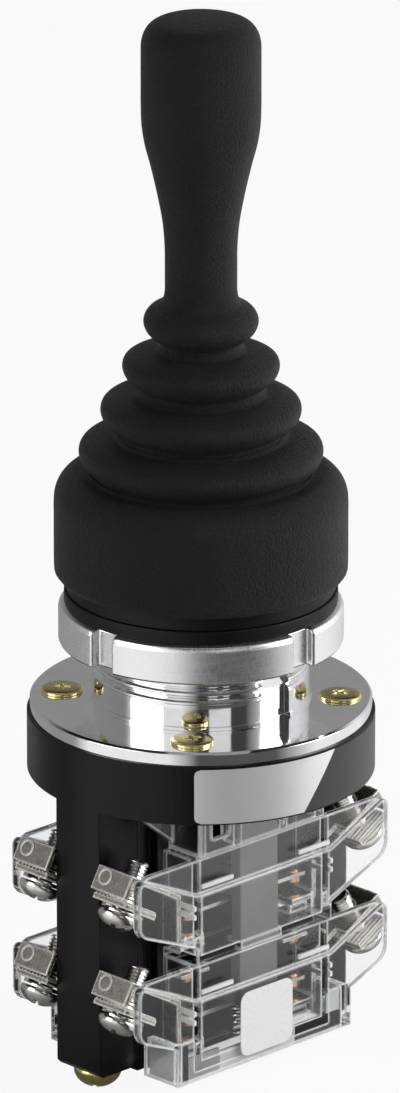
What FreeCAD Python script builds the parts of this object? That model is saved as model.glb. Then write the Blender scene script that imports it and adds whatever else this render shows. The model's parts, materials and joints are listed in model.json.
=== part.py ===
import FreeCAD
import Part
import math
import os

from FreeCAD import Vector as V

# A four-direction panel-mount lever switch, in millimetres.
# +Z is up the lever, -Y faces the keyway side, and X runs through the two legs.
# The origin is the centre of the flange plate's top face, where the panel sits.

# Clearances
FIT = 0.05  # running or seated fit, on the radius
GAP = 0.3  # between pieces that move past each other

# Threaded neck and flange plate
NECK_R = 14.85
NECK_TOP = 22.0
NECK_WALL = 2.2
NECK_FOOT_OUT = 0.15
NECK_FOOT_TOP = 3.7
NECK_BASE_OUT = 0.4
NECK_BASE_H = 0.5
THREAD_PITCH = 1.35
THREAD_DEPTH = 0.6
KEYWAY_W = 4.9
KEYWAY_DEPTH = 1.2
PLATE_T = 1.93
PLATE_CHAMFER = 0.3
FLANGE_SCREW_IN = 4.45
FLANGE_SCREW_HEAD_R = 2.95
FLANGE_SCREW_HEAD_H = 0.8
FLANGE_SCREW_R = 1.4
FLANGE_SCREW_LEN = 8.0
FLANGE_SCREW_TURN = 42

# Ring nut, seal and boot collar
NUT_WALL = 4.8
NUT_BOTTOM = 8.3
NUT_H = 5.6
NUT_CHAMFER = 0.6
NUT_NOTCH_W = 3.7
NUT_NOTCH_DEPTH = 1.5
NUT_TURN = 1.5
SEAL_H = 1.9
COLLAR_WALL = 4.0
COLLAR_H = 13.2
COLLAR_BAND_IN = 0.3
COLLAR_BAND_H = 1.9
COLLAR_RIM = 2.7
COLLAR_CHAMFER = 1.5
COLLAR_LIP_IN = 1.3
COLLAR_LIP_H = 2.0
COLLAR_STOP = 1.0

# Rubber boot
CUP_WALL = 1.3
CUP_TOP = 33.5
CUP_SHOULDER_H = 3.8
CUP_SHOULDER_IN = 2.7
CUP_FOOT_H = 1.5
FOLDS = 4
FOLD_ABOVE_CUP = 2.2
LAST_FOLD_IN = 3.45
RIDGE_TOP_OUT = 2.95
RIDGE_TOP_Z = 54.5
VALLEY_DEPTH = 2.05
VALLEY_DROP = 3.2
TIP_IN = 0.55
TIP_BELOW = 1.15
TIP_FLAT = 0.45
BOOT_WALL = 1.2
BOOT_NECK_H = 2.5
BOOT_NECK_WALL = 0.5

# Grip and lever shaft
GRIP_R = 8.2
GRIP_TOP = 98.0
GRIP_EDGE = 3.0
GRIP_CROWN = 0.5
GRIP_SHOULDER_Z = 82.3
WAIST_R = 4.95
WAIST_Z = 64.5
GRIP_BELOW_RIDGE = 1.5
SHAFT_R = 3.0
SHAFT_BELOW_TOP = 12.0
SHAFT_BELOW_PIVOT = 3.0

# Two-axis pivot
PIVOT_Z = 3.0
PIVOT_PIN_R = 1.3
RING_GAP = 0.7
RING_WALL = 3.0
RING_H = 4.4
CARRIER_WALL = 1.3
CARRIER_ABOVE = 2.8
HUB_WALL = 1.35
HUB_ABOVE = 4.5
HUB_FOOT_R = 3.4
HUB_FOOT_H = 0.3
ARM_HALF = 1.0
PAD_R = 1.3
PAD_TIP_R = 0.5
PAD_BELOW = 1.6
PAD_REACH = 8.2
PAD_DROP = 6.8
PAD_GAP = 0.2
TILT = math.radians(12.0)

# Moulded frame: disc and two legs
DISC_R = 24.1
DISC_T = 8.47
DISC_OUTSIDE_PLATE = 0.4
LEDGE = 0.7
LEG_T = 7.6
LEG_HALF_W = 4.25
LEG_SHORT = 0.8
LEG_CHAMFER = 1.0
LEG_SCREW_IN = 4.1
LEG_SCREW_HEAD_R = 3.3
LEG_SCREW_HEAD_H = 3.0
LEG_SCREW_R = 1.9
LEG_SCREW_LEN = 9.0
HOLE_SPARE = 0.5

# Contact core between the legs
CORE_HALF_Y = 5.75
CORE_WALL = 1.5
CORE_SIDE_WALL = 2.0
CORE_STEP = 2.5
COVER_T = 1.2

# Contact housings, two levels on two sides
ADAPTER_H = 7.6
ADAPTER_IN = 1.0
ADAPTER_RIB = 1.0
ADAPTER_RIB_DEPTH = 2.5
ADAPTER_WINDOW_W = 3.2
ADAPTER_WINDOW_X = 8.0
ADAPTER_SILL = 2.2
ADAPTER_LINTEL = 1.4
GUSSET_OUT = 6.4
GUSSET_H = 6.6
GUSSET_EDGE_H = 1.5
GUSSET_T = 1.0
UNIT_H = 15.6
UNIT_IN = 1.0
UNIT_WALL = 1.2
UPPER_WALL = 0.9
UPPER_SET_BACK = 0.5
CREASE_DROP = 5.0
CREASE_T = 0.5
WING_SHORT = 0.0
WING_EDGE_H = 8.3
WING_ROOT_DROP = 12.9
WING_T = 1.4
SKIRT_OUT = 3.9
SKIRT_TOP_DROP = 10.9
SKIRT_BELOW = 1.2
BOSS_HALF = 1.7

# Pushrods, bridges, springs and contacts
ROD_W = 7.3
ROD_T = 1.9
ROD_OUTSIDE_PAD = 2.8
SIDE_ROD_HALF = 3.0
HEAD_T = 2.0
HEAD_INSIDE_PAD = 2.1
FOOT_T = 1.5
FINGER_W = 5.0
ARM_APART = 0.5
SLOT_GAP = 0.4
BRIDGE_DROP = 8.8
BRIDGE_T = 0.6
BRIDGE_W = 2.6
BRIDGE_OFF_CORE = 0.25
BRIDGE_END = 1.3
CONTACT_IN = 3.0
CONTACT_R = 1.1
CONTACT_T = 0.8
FIXED_TOP_DROP = 12.1
BUTTON_T = 0.3
BUTTON_R = 1.2
SPRING_R = 1.45
SPRING_WIRE = 0.45

# Terminals
STRIP_T = 0.8
STRIP_W = 3.0
STRIP_PAST_CONTACT = 1.4
TERMINAL_TILT = math.radians(30.0)
TERMINAL_W = 6.6
TERMINAL_OFF_LEG = 0.2
TERMINAL_FROM_RIM = 3.6
TERMINAL_DROP = 1.5
TERMINAL_OUT = 3.9
TERMINAL_IN = 3.9
LIP_H = 3.5
TSCREW_R = 1.5
TSCREW_TIP = 2.4
TSCREW_HEAD_R = 3.0
TSCREW_HEAD_H = 2.2
CLAMP_AT = 3.8
CLAMP_T = 0.8
CLAMP_L = 6.2
CLAMP_NARROWER = 0.3
WASHER_R = 2.9
WASHER_T = 0.8

# Radii that follow from the neck
NECK_FOOT_R = NECK_R + NECK_FOOT_OUT
NECK_BASE_R = NECK_R + NECK_BASE_OUT
NECK_BORE_R = NECK_R - NECK_WALL
NUT_R = NECK_R + FIT + NUT_WALL
COLLAR_R = NECK_R + FIT + COLLAR_WALL
COLLAR_LIP_R = COLLAR_R - COLLAR_LIP_IN
COLLAR_BAND_R = COLLAR_R - COLLAR_BAND_IN
CUP_R = COLLAR_R + FIT + CUP_WALL
CARRIER_R = NECK_BORE_R - FIT
RING_R = CARRIER_R - CARRIER_WALL - RING_GAP
HUB_R = SHAFT_R + FIT + HUB_WALL
RIDGE_TOP_R = WAIST_R + RIDGE_TOP_OUT
FOLD_STEP = (CUP_R - LAST_FOLD_IN - RIDGE_TOP_R) / (FOLDS - 1)
DISC_BORE_R = CARRIER_R - LEDGE

# Heights that follow from the parts that stack up
NUT_TOP = NUT_BOTTOM + NUT_H
SEAL_TOP = NUT_TOP + SEAL_H
BAND_TOP = SEAL_TOP + COLLAR_BAND_H
GROOVE_TOP = BAND_TOP + COLLAR_LIP_H
FOLD_RISE = (RIDGE_TOP_Z - CUP_TOP - FOLD_ABOVE_CUP) / (FOLDS - 1)
BOOT_TOP = RIDGE_TOP_Z + BOOT_NECK_H
GRIP_BOTTOM = RIDGE_TOP_Z - GRIP_BELOW_RIDGE
SHAFT_TOP = GRIP_TOP - SHAFT_BELOW_TOP
PAD_BOTTOM = PIVOT_Z - PAD_DROP - PAD_BELOW
TRAVEL = PAD_REACH * TILT
HEAD_TOP = PAD_BOTTOM - PAD_GAP
DISC_BOTTOM = -PLATE_T - DISC_T
UNIT_TOP = DISC_BOTTOM - ADAPTER_H
UNIT_BOTTOM = UNIT_TOP - 2 * UNIT_H
FOOT_Z = UNIT_BOTTOM - SKIRT_BELOW
LEG_BOTTOM = FOOT_Z + LEG_SHORT

# Places that follow from the disc and the pushrods
PLATE_R = DISC_R - DISC_OUTSIDE_PLATE
FLANGE_SCREW_CIRCLE_R = PLATE_R - FLANGE_SCREW_IN
LEG_IN = DISC_R - LEG_T
LEG_SCREW_X = DISC_R - LEG_SCREW_IN
CORE_STEP_X = LEG_IN - CORE_STEP
UNIT_HALF_X = CORE_STEP_X - UNIT_IN
ADAPTER_HALF_X = UNIT_HALF_X - ADAPTER_IN
SKIRT_X = UNIT_HALF_X + SKIRT_OUT
WING_X = DISC_R - WING_SHORT
CONTACT_X = UNIT_HALF_X - CONTACT_IN
BRIDGE_HALF_X = CONTACT_X + BRIDGE_END
STRIP_END_X = CONTACT_X - STRIP_PAST_CONTACT
STRIP_TOP_DROP = FIXED_TOP_DROP + BUTTON_T
TERMINAL_X = DISC_R - TERMINAL_FROM_RIM
TERMINAL_Y = LEG_HALF_W + TERMINAL_OFF_LEG + TERMINAL_W / 2
ROD_OUT = PAD_REACH + ROD_OUTSIDE_PAD
HEAD_IN = PAD_REACH - HEAD_INSIDE_PAD
UNIT_FRONT = ROD_OUT + GAP + UPPER_WALL + UPPER_SET_BACK
BRIDGE_IN = CORE_HALF_Y + BRIDGE_OFF_CORE
BRIDGE_Y = BRIDGE_IN + BRIDGE_W / 2
LEVELS = {"upper": UNIT_TOP, "lower": UNIT_TOP - UNIT_H}
SIDES = {"front": 0, "rear": 180}


def box(x0, x1, y0, y1, z0, z1):
    return Part.makeBox(x1 - x0, y1 - y0, z1 - z0, V(x0, y0, z0))


def rod(r, z0, z1, x=0.0, y=0.0):
    return Part.makeCylinder(r, z1 - z0, V(x, y, z0))


def tube(r_out, r_in, z0, z1, x=0.0, y=0.0):
    return rod(r_out, z0, z1, x, y).cut(rod(r_in, z0, z1, x, y))


def cross_rod(r, half, z, along):
    """A cylinder centred on the upright axis, lying along a direction."""
    return Part.makeCylinder(r, 2 * half, V(0, 0, z) - along * half, along)


def turned(shape, degrees):
    """A copy turned about the upright axis."""
    copy = shape.copy()
    copy.rotate(V(0, 0, 0), V(0, 0, 1), degrees)
    return copy


def fuse(shapes):
    return shapes[0].fuse(shapes[1:]).removeSplitter()


def revolve(edges):
    """A solid of revolution from edges that close a profile in the XZ plane."""
    face = Part.Face(Part.Wire(edges))
    return face.revolve(V(0, 0, 0), V(0, 0, 1), 360)


def line(a, b):
    return Part.makeLine(V(a[0], 0, a[1]), V(b[0], 0, b[1]))


def lines(points):
    return [line(a, b) for a, b in zip(points, points[1:])]


def bow(a, b, bulge):
    """An arc from a to b that stands off their chord by bulge, to its right."""
    dx, dz = b[0] - a[0], b[1] - a[1]
    long = math.hypot(dx, dz)
    mid = V((a[0] + b[0]) / 2 + bulge * dz / long, 0, (a[1] + b[1]) / 2 - bulge * dx / long)
    return Part.Arc(V(a[0], 0, a[1]), mid, V(b[0], 0, b[1])).toShape()


def dome(edge, top_z):
    """A spherical arc from a point at the side up to the axis at top_z."""
    chord = math.hypot(edge[0], top_z - edge[1])
    sphere_r = chord**2 / (2 * (top_z - edge[1]))
    return bow(edge, (0, top_z), sphere_r - math.sqrt(sphere_r**2 - chord**2 / 4))


def slab(points, y0, y1):
    """A flat plate: an outline in the XZ plane, from y0 to y1."""
    wire = Part.makePolygon([V(x, y0, z) for x, z in points] + [V(points[0][0], y0, points[0][1])])
    return Part.Face(wire).extrude(V(0, y1 - y0, 0))


def cross_recess(z, width, span, depth):
    """The tool that cuts a cross recess down from z, on the upright axis."""
    bar = box(-span / 2, span / 2, -width / 2, width / 2, z - depth, z)
    return bar.fuse(turned(bar, 90))


def screw(head_r, head_h, shank_r, length):
    """A pan-head screw, head up, with its head's underside at zero."""
    crown = (head_r * 0.62, head_h)
    return revolve(lines([
        (0, head_h),
        (0, -length),
        (shank_r, -length),
        (shank_r, 0),
        (head_r, 0),
        (head_r, head_h * 0.45),
        crown,
        (0, head_h),
    ]))


def cross_screw(head_r, head_h, shank_r, length):
    solid = screw(head_r, head_h, shank_r, length)
    return solid.cut(cross_recess(head_h, head_r * 0.22, head_r * 1.1, head_h * 0.45))


def grip():
    """Moulded handle: thick crowned upper end, S-curved taper and slim waist."""
    edge = (GRIP_R, GRIP_TOP - GRIP_CROWN - GRIP_EDGE)
    crown = (GRIP_R - GRIP_EDGE, GRIP_TOP - GRIP_CROWN)
    taper = Part.BezierCurve()
    bend = (GRIP_SHOULDER_Z - WAIST_Z) * 0.42
    taper.setPoles([
        V(WAIST_R, 0, WAIST_Z),
        V(WAIST_R, 0, WAIST_Z + bend),
        V(GRIP_R, 0, GRIP_SHOULDER_Z - bend),
        V(GRIP_R, 0, GRIP_SHOULDER_Z),
    ])
    foot = lines([(0, GRIP_BOTTOM), (WAIST_R, GRIP_BOTTOM), (WAIST_R, WAIST_Z)])
    side = line((GRIP_R, GRIP_SHOULDER_Z), edge)
    top = [bow(edge, crown, 0.29 * GRIP_EDGE), dome(crown, GRIP_TOP)]
    solid = revolve(foot + [taper.toShape(), side] + top + [line((0, GRIP_TOP), (0, GRIP_BOTTOM))])
    return solid.cut(rod(SHAFT_R + FIT, GRIP_BOTTOM, SHAFT_TOP + FIT))


def lever_shaft():
    """Steel rod from the pivot hub up into the grip, cross-drilled for its pin."""
    shaft = rod(SHAFT_R, PIVOT_Z - SHAFT_BELOW_PIVOT, SHAFT_TOP)
    return shaft.cut(cross_rod(PIVOT_PIN_R + FIT, 2 * SHAFT_R, PIVOT_Z, V(1, 0, 0)))


def rocker():
    """Hub on the shaft with four arms, each with a coned pad that presses a pushrod."""
    pad_z = PIVOT_Z - PAD_DROP
    hub = rod(HUB_R, pad_z + ARM_HALF + HUB_FOOT_H, PIVOT_Z + HUB_ABOVE)
    foot = rod(HUB_FOOT_R, pad_z - ARM_HALF - HUB_FOOT_H, pad_z + ARM_HALF + HUB_FOOT_H)
    arm = box(0, PAD_REACH, -ARM_HALF, ARM_HALF, pad_z - ARM_HALF, pad_z + ARM_HALF)
    cone = PAD_R - PAD_TIP_R
    pad = revolve(lines([
        (0, PAD_BOTTOM),
        (PAD_TIP_R, PAD_BOTTOM),
        (PAD_R, PAD_BOTTOM + cone),
        (PAD_R, pad_z + ARM_HALF),
        (0, pad_z + ARM_HALF),
        (0, PAD_BOTTOM),
    ]))
    pad.translate(V(PAD_REACH, 0, 0))
    arm = arm.fuse(pad)
    solid = fuse([hub, foot] + [turned(arm, 90 * quarter) for quarter in range(4)])
    solid = solid.cut(rod(SHAFT_R + FIT, PIVOT_Z - SHAFT_BELOW_PIVOT - FIT, PIVOT_Z + HUB_ABOVE))
    return solid.cut(cross_rod(PIVOT_PIN_R + FIT, 2 * HUB_R, PIVOT_Z, V(1, 0, 0)))


def pivot_pin_x():
    """Cross pin through the shaft and hub, its ends turning in the gimbal ring."""
    return cross_rod(PIVOT_PIN_R, RING_R - 0.4, PIVOT_Z, V(1, 0, 0))


def gimbal_ring():
    """Ring between the two pivot axes."""
    half = RING_H / 2
    ring = tube(RING_R, RING_R - RING_WALL, PIVOT_Z - half, PIVOT_Z + half)
    for along in (V(1, 0, 0), V(0, 1, 0)):
        ring = ring.cut(cross_rod(PIVOT_PIN_R + FIT, 2 * RING_R, PIVOT_Z, along))
    return ring


def pivot_pins_y():
    """Two short pins from the gimbal ring out into the carrier."""
    inner = RING_R - RING_WALL + 0.3
    pin = Part.makeCylinder(PIVOT_PIN_R, CARRIER_R - 0.1 - inner, V(0, inner, PIVOT_Z), V(0, 1, 0))
    return Part.makeCompound([pin, turned(pin, 180)])


def gimbal_carrier():
    """Bearing ring in the neck's bore, standing on the frame's inner ledge."""
    ring = tube(CARRIER_R, CARRIER_R - CARRIER_WALL, -PLATE_T, PIVOT_Z + CARRIER_ABOVE)
    return ring.cut(cross_rod(PIVOT_PIN_R + FIT, 2 * CARRIER_R, PIVOT_Z, V(0, 1, 0)))


def neck_flange():
    """One casting: round plate, plain foot, threaded neck and a keyway down its front."""
    top = NECK_TOP - 0.5
    points = [
        (NECK_BORE_R, -PLATE_T),
        (PLATE_R, -PLATE_T),
        (PLATE_R, -PLATE_CHAMFER),
        (PLATE_R - PLATE_CHAMFER, 0),
        (NECK_BASE_R, 0),
        (NECK_BASE_R, NECK_BASE_H),
        (NECK_FOOT_R, NECK_BASE_H),
        (NECK_FOOT_R, NECK_FOOT_TOP),
        (NECK_R, NECK_FOOT_TOP),
    ]
    z = NECK_FOOT_TOP + 0.1
    while z + THREAD_PITCH < NUT_BOTTOM + THREAD_PITCH / 2:
        points.append((NECK_R, z + 0.2))
        points.append((NECK_R - THREAD_DEPTH, z + THREAD_PITCH / 2))
        points.append((NECK_R, z + THREAD_PITCH - 0.2))
        z += THREAD_PITCH
    points += [(NECK_R, top), (NECK_R - 0.5, NECK_TOP), (NECK_BORE_R, NECK_TOP)]
    solid = revolve(lines(points + [points[0]]))
    solid = solid.cut(box(
        -KEYWAY_W / 2, KEYWAY_W / 2, -NECK_BASE_R - 1, KEYWAY_DEPTH - NECK_FOOT_R, 0, NECK_TOP))
    for hole in at_flange_screws(rod(FLANGE_SCREW_R + FIT, -PLATE_T, 0)):
        solid = solid.cut(hole)
    return solid


def at_flange_screws(shape):
    """Four copies of a shape on the plate's screw circle, between the two row axes."""
    shape = shape.copy()
    shape.translate(V(FLANGE_SCREW_CIRCLE_R, 0, 0))
    return [turned(shape, FLANGE_SCREW_TURN + 90 * quarter) for quarter in range(4)]


def flange_screws():
    one = cross_screw(FLANGE_SCREW_HEAD_R, FLANGE_SCREW_HEAD_H, FLANGE_SCREW_R, FLANGE_SCREW_LEN)
    return Part.makeCompound(at_flange_screws(one))


def ring_nut():
    """Round nut with four spanner slots."""
    bore = NECK_R + FIT
    solid = revolve(lines([
        (bore, NUT_BOTTOM),
        (NUT_R, NUT_BOTTOM),
        (NUT_R, NUT_TOP - NUT_CHAMFER),
        (NUT_R - NUT_CHAMFER, NUT_TOP),
        (bore, NUT_TOP),
        (bore, NUT_BOTTOM),
    ]))
    slot = box(NUT_R - NUT_NOTCH_DEPTH, NUT_R + 1, -NUT_NOTCH_W / 2, NUT_NOTCH_W / 2,
               NUT_BOTTOM, NUT_TOP)
    for quarter in range(4):
        solid = solid.cut(turned(slot, NUT_TURN + 90 * quarter))
    return solid


def seal_gasket():
    return tube(COLLAR_R, NECK_R + FIT, NUT_TOP, SEAL_TOP)


def boot_collar():
    """Ring screwed on the neck's top: a foot band, and a groove that the boot's lip hooks into."""
    bore = NECK_R + FIT
    top = SEAL_TOP + COLLAR_H
    return revolve(lines([
        (bore, SEAL_TOP),
        (COLLAR_BAND_R, SEAL_TOP),
        (COLLAR_BAND_R, BAND_TOP),
        (COLLAR_LIP_R, BAND_TOP),
        (COLLAR_LIP_R, GROOVE_TOP),
        (COLLAR_R, GROOVE_TOP),
        (COLLAR_R, top - COLLAR_CHAMFER),
        (COLLAR_R - COLLAR_CHAMFER, top),
        (COLLAR_R - COLLAR_RIM, top),
        (bore - COLLAR_STOP, NECK_TOP + COLLAR_STOP),
        (bore - COLLAR_STOP, NECK_TOP + FIT),
        (bore, NECK_TOP + FIT),
        (bore, SEAL_TOP),
    ]))


def ridge(k):
    """The tip of the boot's fold k, counted from the top."""
    return RIDGE_TOP_R + k * FOLD_STEP, RIDGE_TOP_Z - k * FOLD_RISE


def valley(k):
    """The groove under the boot's fold k."""
    r, z = ridge(k)
    return r - VALLEY_DEPTH, z - VALLEY_DROP


def rubber_boot():
    """Hollow bellows: a hooked cup, and folds that shrink towards the grip's waist."""
    foot = BAND_TOP + FIT
    neck = WAIST_R + GAP
    wall = (CUP_R, CUP_TOP - CUP_SHOULDER_H)
    rim = (CUP_R - CUP_SHOULDER_IN, CUP_TOP)
    shoulder_in = (CUP_R - CUP_WALL, wall[1] - 0.2)
    outer = [
        line((COLLAR_LIP_R + FIT, foot), (CUP_R - CUP_FOOT_H, foot)),
        bow((CUP_R - CUP_FOOT_H, foot), (CUP_R, foot + CUP_FOOT_H), 0.29 * CUP_FOOT_H),
        line((CUP_R, foot + CUP_FOOT_H), wall),
        bow(wall, rim, 0.7),
        bow(rim, valley(FOLDS - 1), 0.25),
    ]
    for k in reversed(range(FOLDS)):
        r, z = ridge(k)
        above = valley(k - 1) if k else (neck + BOOT_NECK_WALL, BOOT_TOP)
        under = (r - TIP_IN, z - TIP_BELOW)
        over = (r - 1.6 * TIP_IN, z + TIP_BELOW)
        outer += lines([valley(k), under, (r, z - TIP_FLAT), (r, z + TIP_FLAT), over, above])
    inner = [(neck + BOOT_NECK_WALL, BOOT_TOP), (neck, BOOT_TOP), (neck, RIDGE_TOP_Z + BOOT_WALL)]
    for k in range(FOLDS):
        inner.append((ridge(k)[0] - BOOT_WALL - 0.15, ridge(k)[1]))
        inner.append((valley(k)[0] - BOOT_WALL, valley(k)[1]))
    cup_in = CUP_R - CUP_WALL
    inner[-1] = (inner[-1][0], shoulder_in[1] + 1.9)
    inner += [
        (cup_in - 1.9, shoulder_in[1] + 1.9),
        shoulder_in,
        (cup_in, GROOVE_TOP - FIT),
        (COLLAR_LIP_R + FIT, GROOVE_TOP - FIT),
        (COLLAR_LIP_R + FIT, foot),
    ]
    return revolve(outer + lines(inner))


def frame_body():
    """Moulded disc with two legs that follow its rim, bored for the mechanism."""
    disc = rod(DISC_R, DISC_BOTTOM, -PLATE_T)
    rim = rod(DISC_R, LEG_BOTTOM, DISC_BOTTOM)
    leg = box(LEG_IN, DISC_R, -LEG_HALF_W, LEG_HALF_W, LEG_BOTTOM, DISC_BOTTOM)
    foot_edges = [
        (LEG_IN, LEG_BOTTOM + LEG_CHAMFER),
        (LEG_IN + LEG_CHAMFER, LEG_BOTTOM),
        (DISC_R - LEG_CHAMFER, LEG_BOTTOM),
        (DISC_R, LEG_BOTTOM + LEG_CHAMFER),
        (DISC_R, DISC_BOTTOM),
        (LEG_IN, DISC_BOTTOM),
    ]
    leg = leg.common(rim).common(slab(foot_edges, -LEG_HALF_W, LEG_HALF_W))
    leg = leg.cut(rod(LEG_SCREW_R + FIT, LEG_BOTTOM, LEG_BOTTOM + LEG_SCREW_LEN + HOLE_SPARE, LEG_SCREW_X))
    solid = fuse([disc, leg, turned(leg, 180)])
    solid = solid.cut(rod(DISC_BORE_R, DISC_BOTTOM, -PLATE_T))
    for hole in at_flange_screws(rod(FLANGE_SCREW_R + FIT, -FLANGE_SCREW_LEN - HOLE_SPARE, -PLATE_T)):
        solid = solid.cut(hole)
    return solid


def leg_screws():
    one = cross_screw(LEG_SCREW_HEAD_R, LEG_SCREW_HEAD_H, LEG_SCREW_R, LEG_SCREW_LEN)
    one.rotate(V(0, 0, 0), V(1, 0, 0), 180)
    one.translate(V(LEG_SCREW_X, 0, LEG_BOTTOM))
    return Part.makeCompound([one, turned(one, 180)])


def contact_core():
    """Black channel between the legs, slotted where the side pushrods reach out."""
    wide = box(-CORE_STEP_X, CORE_STEP_X, -CORE_HALF_Y, CORE_HALF_Y, FOOT_Z, DISC_BOTTOM)
    long = box(-LEG_IN, LEG_IN, -LEG_HALF_W, LEG_HALF_W, FOOT_Z, DISC_BOTTOM)
    inside_x = LEG_IN - CORE_SIDE_WALL
    inside_y = CORE_HALF_Y - CORE_WALL
    inside = box(-CORE_STEP_X + CORE_SIDE_WALL, CORE_STEP_X - CORE_SIDE_WALL, -inside_y, inside_y,
                 FOOT_Z, DISC_BOTTOM)
    inside = inside.fuse(box(-inside_x, inside_x, CORE_WALL - LEG_HALF_W, LEG_HALF_W - CORE_WALL,
                             FOOT_Z, DISC_BOTTOM))
    finger_top = UNIT_TOP - BRIDGE_DROP + FOOT_T
    reach = TRAVEL + SLOT_GAP
    slot = box(-FINGER_W / 2 - SLOT_GAP, FINGER_W / 2 + SLOT_GAP, -CORE_HALF_Y, CORE_HALF_Y,
               finger_top - FOOT_T - reach, finger_top + reach)
    return fuse([wide, long]).cut(inside).cut(slot)


def core_cover():
    """Plate that closes the foot of the core's channel."""
    inside_y = CORE_HALF_Y - CORE_WALL - FIT
    inside_x = CORE_STEP_X - CORE_SIDE_WALL - FIT
    return box(-inside_x, inside_x, -inside_y, inside_y, FOOT_Z, FOOT_Z + COVER_T)


def adapter_guides():
    """Clear frames that carry the upper housings under the disc and guide the pushrods."""
    front = UNIT_FRONT - UPPER_SET_BACK
    outer = box(-ADAPTER_HALF_X, ADAPTER_HALF_X, -front, -CORE_HALF_Y, UNIT_TOP, DISC_BOTTOM)
    inner = box(UNIT_WALL - ADAPTER_HALF_X, ADAPTER_HALF_X - UNIT_WALL, UPPER_WALL - front,
                -CORE_HALF_Y, UNIT_TOP, DISC_BOTTOM)
    frame = outer.cut(inner)
    rib_x = ROD_W / 2 + GAP
    rib_in = UPPER_WALL + ADAPTER_RIB_DEPTH - front
    half_window = ADAPTER_WINDOW_W / 2
    for side in (-1, 1):
        x0, x1 = sorted((side * rib_x, side * (rib_x + ADAPTER_RIB)))
        frame = frame.fuse(box(x0, x1, -front, rib_in, UNIT_TOP, DISC_BOTTOM))
        x = side * ADAPTER_WINDOW_X
        frame = frame.cut(box(x - half_window, x + half_window, -front, UPPER_WALL - front,
                              UNIT_TOP + ADAPTER_SILL, DISC_BOTTOM - ADAPTER_LINTEL))
    gusset = [
        (ADAPTER_HALF_X, DISC_BOTTOM),
        (ADAPTER_HALF_X + GUSSET_OUT, DISC_BOTTOM),
        (ADAPTER_HALF_X + GUSSET_OUT, DISC_BOTTOM - GUSSET_EDGE_H),
        (ADAPTER_HALF_X, DISC_BOTTOM - GUSSET_H),
    ]
    for side in (-1, 1):
        points = [(side * x, z) for x, z in gusset]
        frame = frame.fuse(slab(points, -CORE_HALF_Y - GUSSET_T, -CORE_HALF_Y))
    frame = frame.removeSplitter()
    return Part.makeCompound([frame, turned(frame, 180)])


def housing(z_top, lowest):
    """Clear contact housing: a chamber with a set-back upper wall and two winged cheeks."""
    z_floor = z_top - UNIT_H
    z_crease = z_top - CREASE_DROP
    front = -UNIT_FRONT
    back = front + UPPER_SET_BACK
    inner_x = UNIT_HALF_X - UNIT_WALL
    body = box(-UNIT_HALF_X, UNIT_HALF_X, front, -CORE_HALF_Y, z_floor, z_crease)
    upper = box(-UNIT_HALF_X, UNIT_HALF_X, back, -CORE_HALF_Y, z_crease, z_top)
    cheek = [
        (-UNIT_HALF_X, z_crease),
        (-WING_X, z_top),
        (-WING_X, z_top - WING_EDGE_H),
        (-UNIT_HALF_X, z_top - WING_ROOT_DROP),
        (UNIT_HALF_X, z_top - WING_ROOT_DROP),
        (WING_X, z_top - WING_EDGE_H),
        (WING_X, z_top),
        (UNIT_HALF_X, z_crease),
    ]
    upper_cheek = [
        (-UNIT_HALF_X, z_crease),
        (-WING_X + 0.9, z_top - 0.5),
        (-WING_X + 2.0, z_top),
        (WING_X - 2.0, z_top),
        (WING_X - 0.9, z_top - 0.5),
        (UNIT_HALF_X, z_crease),
    ]
    shell = [body, upper, slab(cheek, front, front + WING_T),
             slab(upper_cheek, back, back + UPPER_WALL)]
    if lowest:
        skirt_top = z_top - SKIRT_TOP_DROP
        shell.append(box(-SKIRT_X, SKIRT_X, front, -CORE_HALF_Y - 0.2, FOOT_Z, skirt_top))
    solid = fuse(shell)
    chamber = box(-inner_x, inner_x, front + UNIT_WALL, -CORE_HALF_Y, z_floor + UNIT_WALL,
                  z_crease - CREASE_T)
    attic = box(-inner_x, inner_x, back + UPPER_WALL, -CORE_HALF_Y, z_crease - CREASE_T, z_top)
    solid = solid.cut(chamber).cut(attic)
    if lowest:
        for side in (-1, 1):
            x0, x1 = sorted((side * UNIT_HALF_X, side * (SKIRT_X - UNIT_WALL)))
            solid = solid.cut(box(x0, x1, front + UNIT_WALL, -CORE_HALF_Y, FOOT_Z,
                                  z_top - SKIRT_TOP_DROP))
        solid = solid.cut(box(-UNIT_HALF_X, UNIT_HALF_X, front + UNIT_WALL, -CORE_HALF_Y,
                              FOOT_Z, z_floor))
    window_y = -BRIDGE_Y - STRIP_W / 2 - 0.3
    window_top = z_top - STRIP_TOP_DROP + 0.4
    for side in (-1, 1):
        x0, x1 = sorted((side * inner_x, side * UNIT_HALF_X))
        solid = solid.cut(box(x0, x1, window_y, -CORE_HALF_Y, z_floor + UNIT_WALL, window_top))
    strip_bottom = z_top - STRIP_TOP_DROP - STRIP_T
    for side in (-1, 1):
        x = side * CONTACT_X
        boss = box(x - BOSS_HALF, x + BOSS_HALF, -BRIDGE_IN - BRIDGE_W, -BRIDGE_IN,
                   z_floor + UNIT_WALL, strip_bottom)
        solid = solid.fuse(boss)
    if not lowest:
        pass_x = ROD_W / 2 + GAP
        solid = solid.cut(box(-pass_x, pass_x, -ROD_OUT - GAP, -ROD_OUT + ROD_T + GAP,
                              z_floor, z_floor + UNIT_WALL))
    return solid.removeSplitter()


def pushrod_main():
    """Flat bar from its head under the rocker down through the upper housing."""
    half = ROD_W / 2
    foot_top = LEVELS["lower"] - BRIDGE_DROP + FOOT_T
    head = box(-half, half, -ROD_OUT, -HEAD_IN, HEAD_TOP - HEAD_T, HEAD_TOP)
    bar = box(-half, half, -ROD_OUT, ROD_T - ROD_OUT, foot_top, HEAD_TOP - HEAD_T)
    foot = box(-half, half, -ROD_OUT, -BRIDGE_IN, foot_top - FOOT_T, foot_top)
    return fuse([head, bar, foot])


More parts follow.
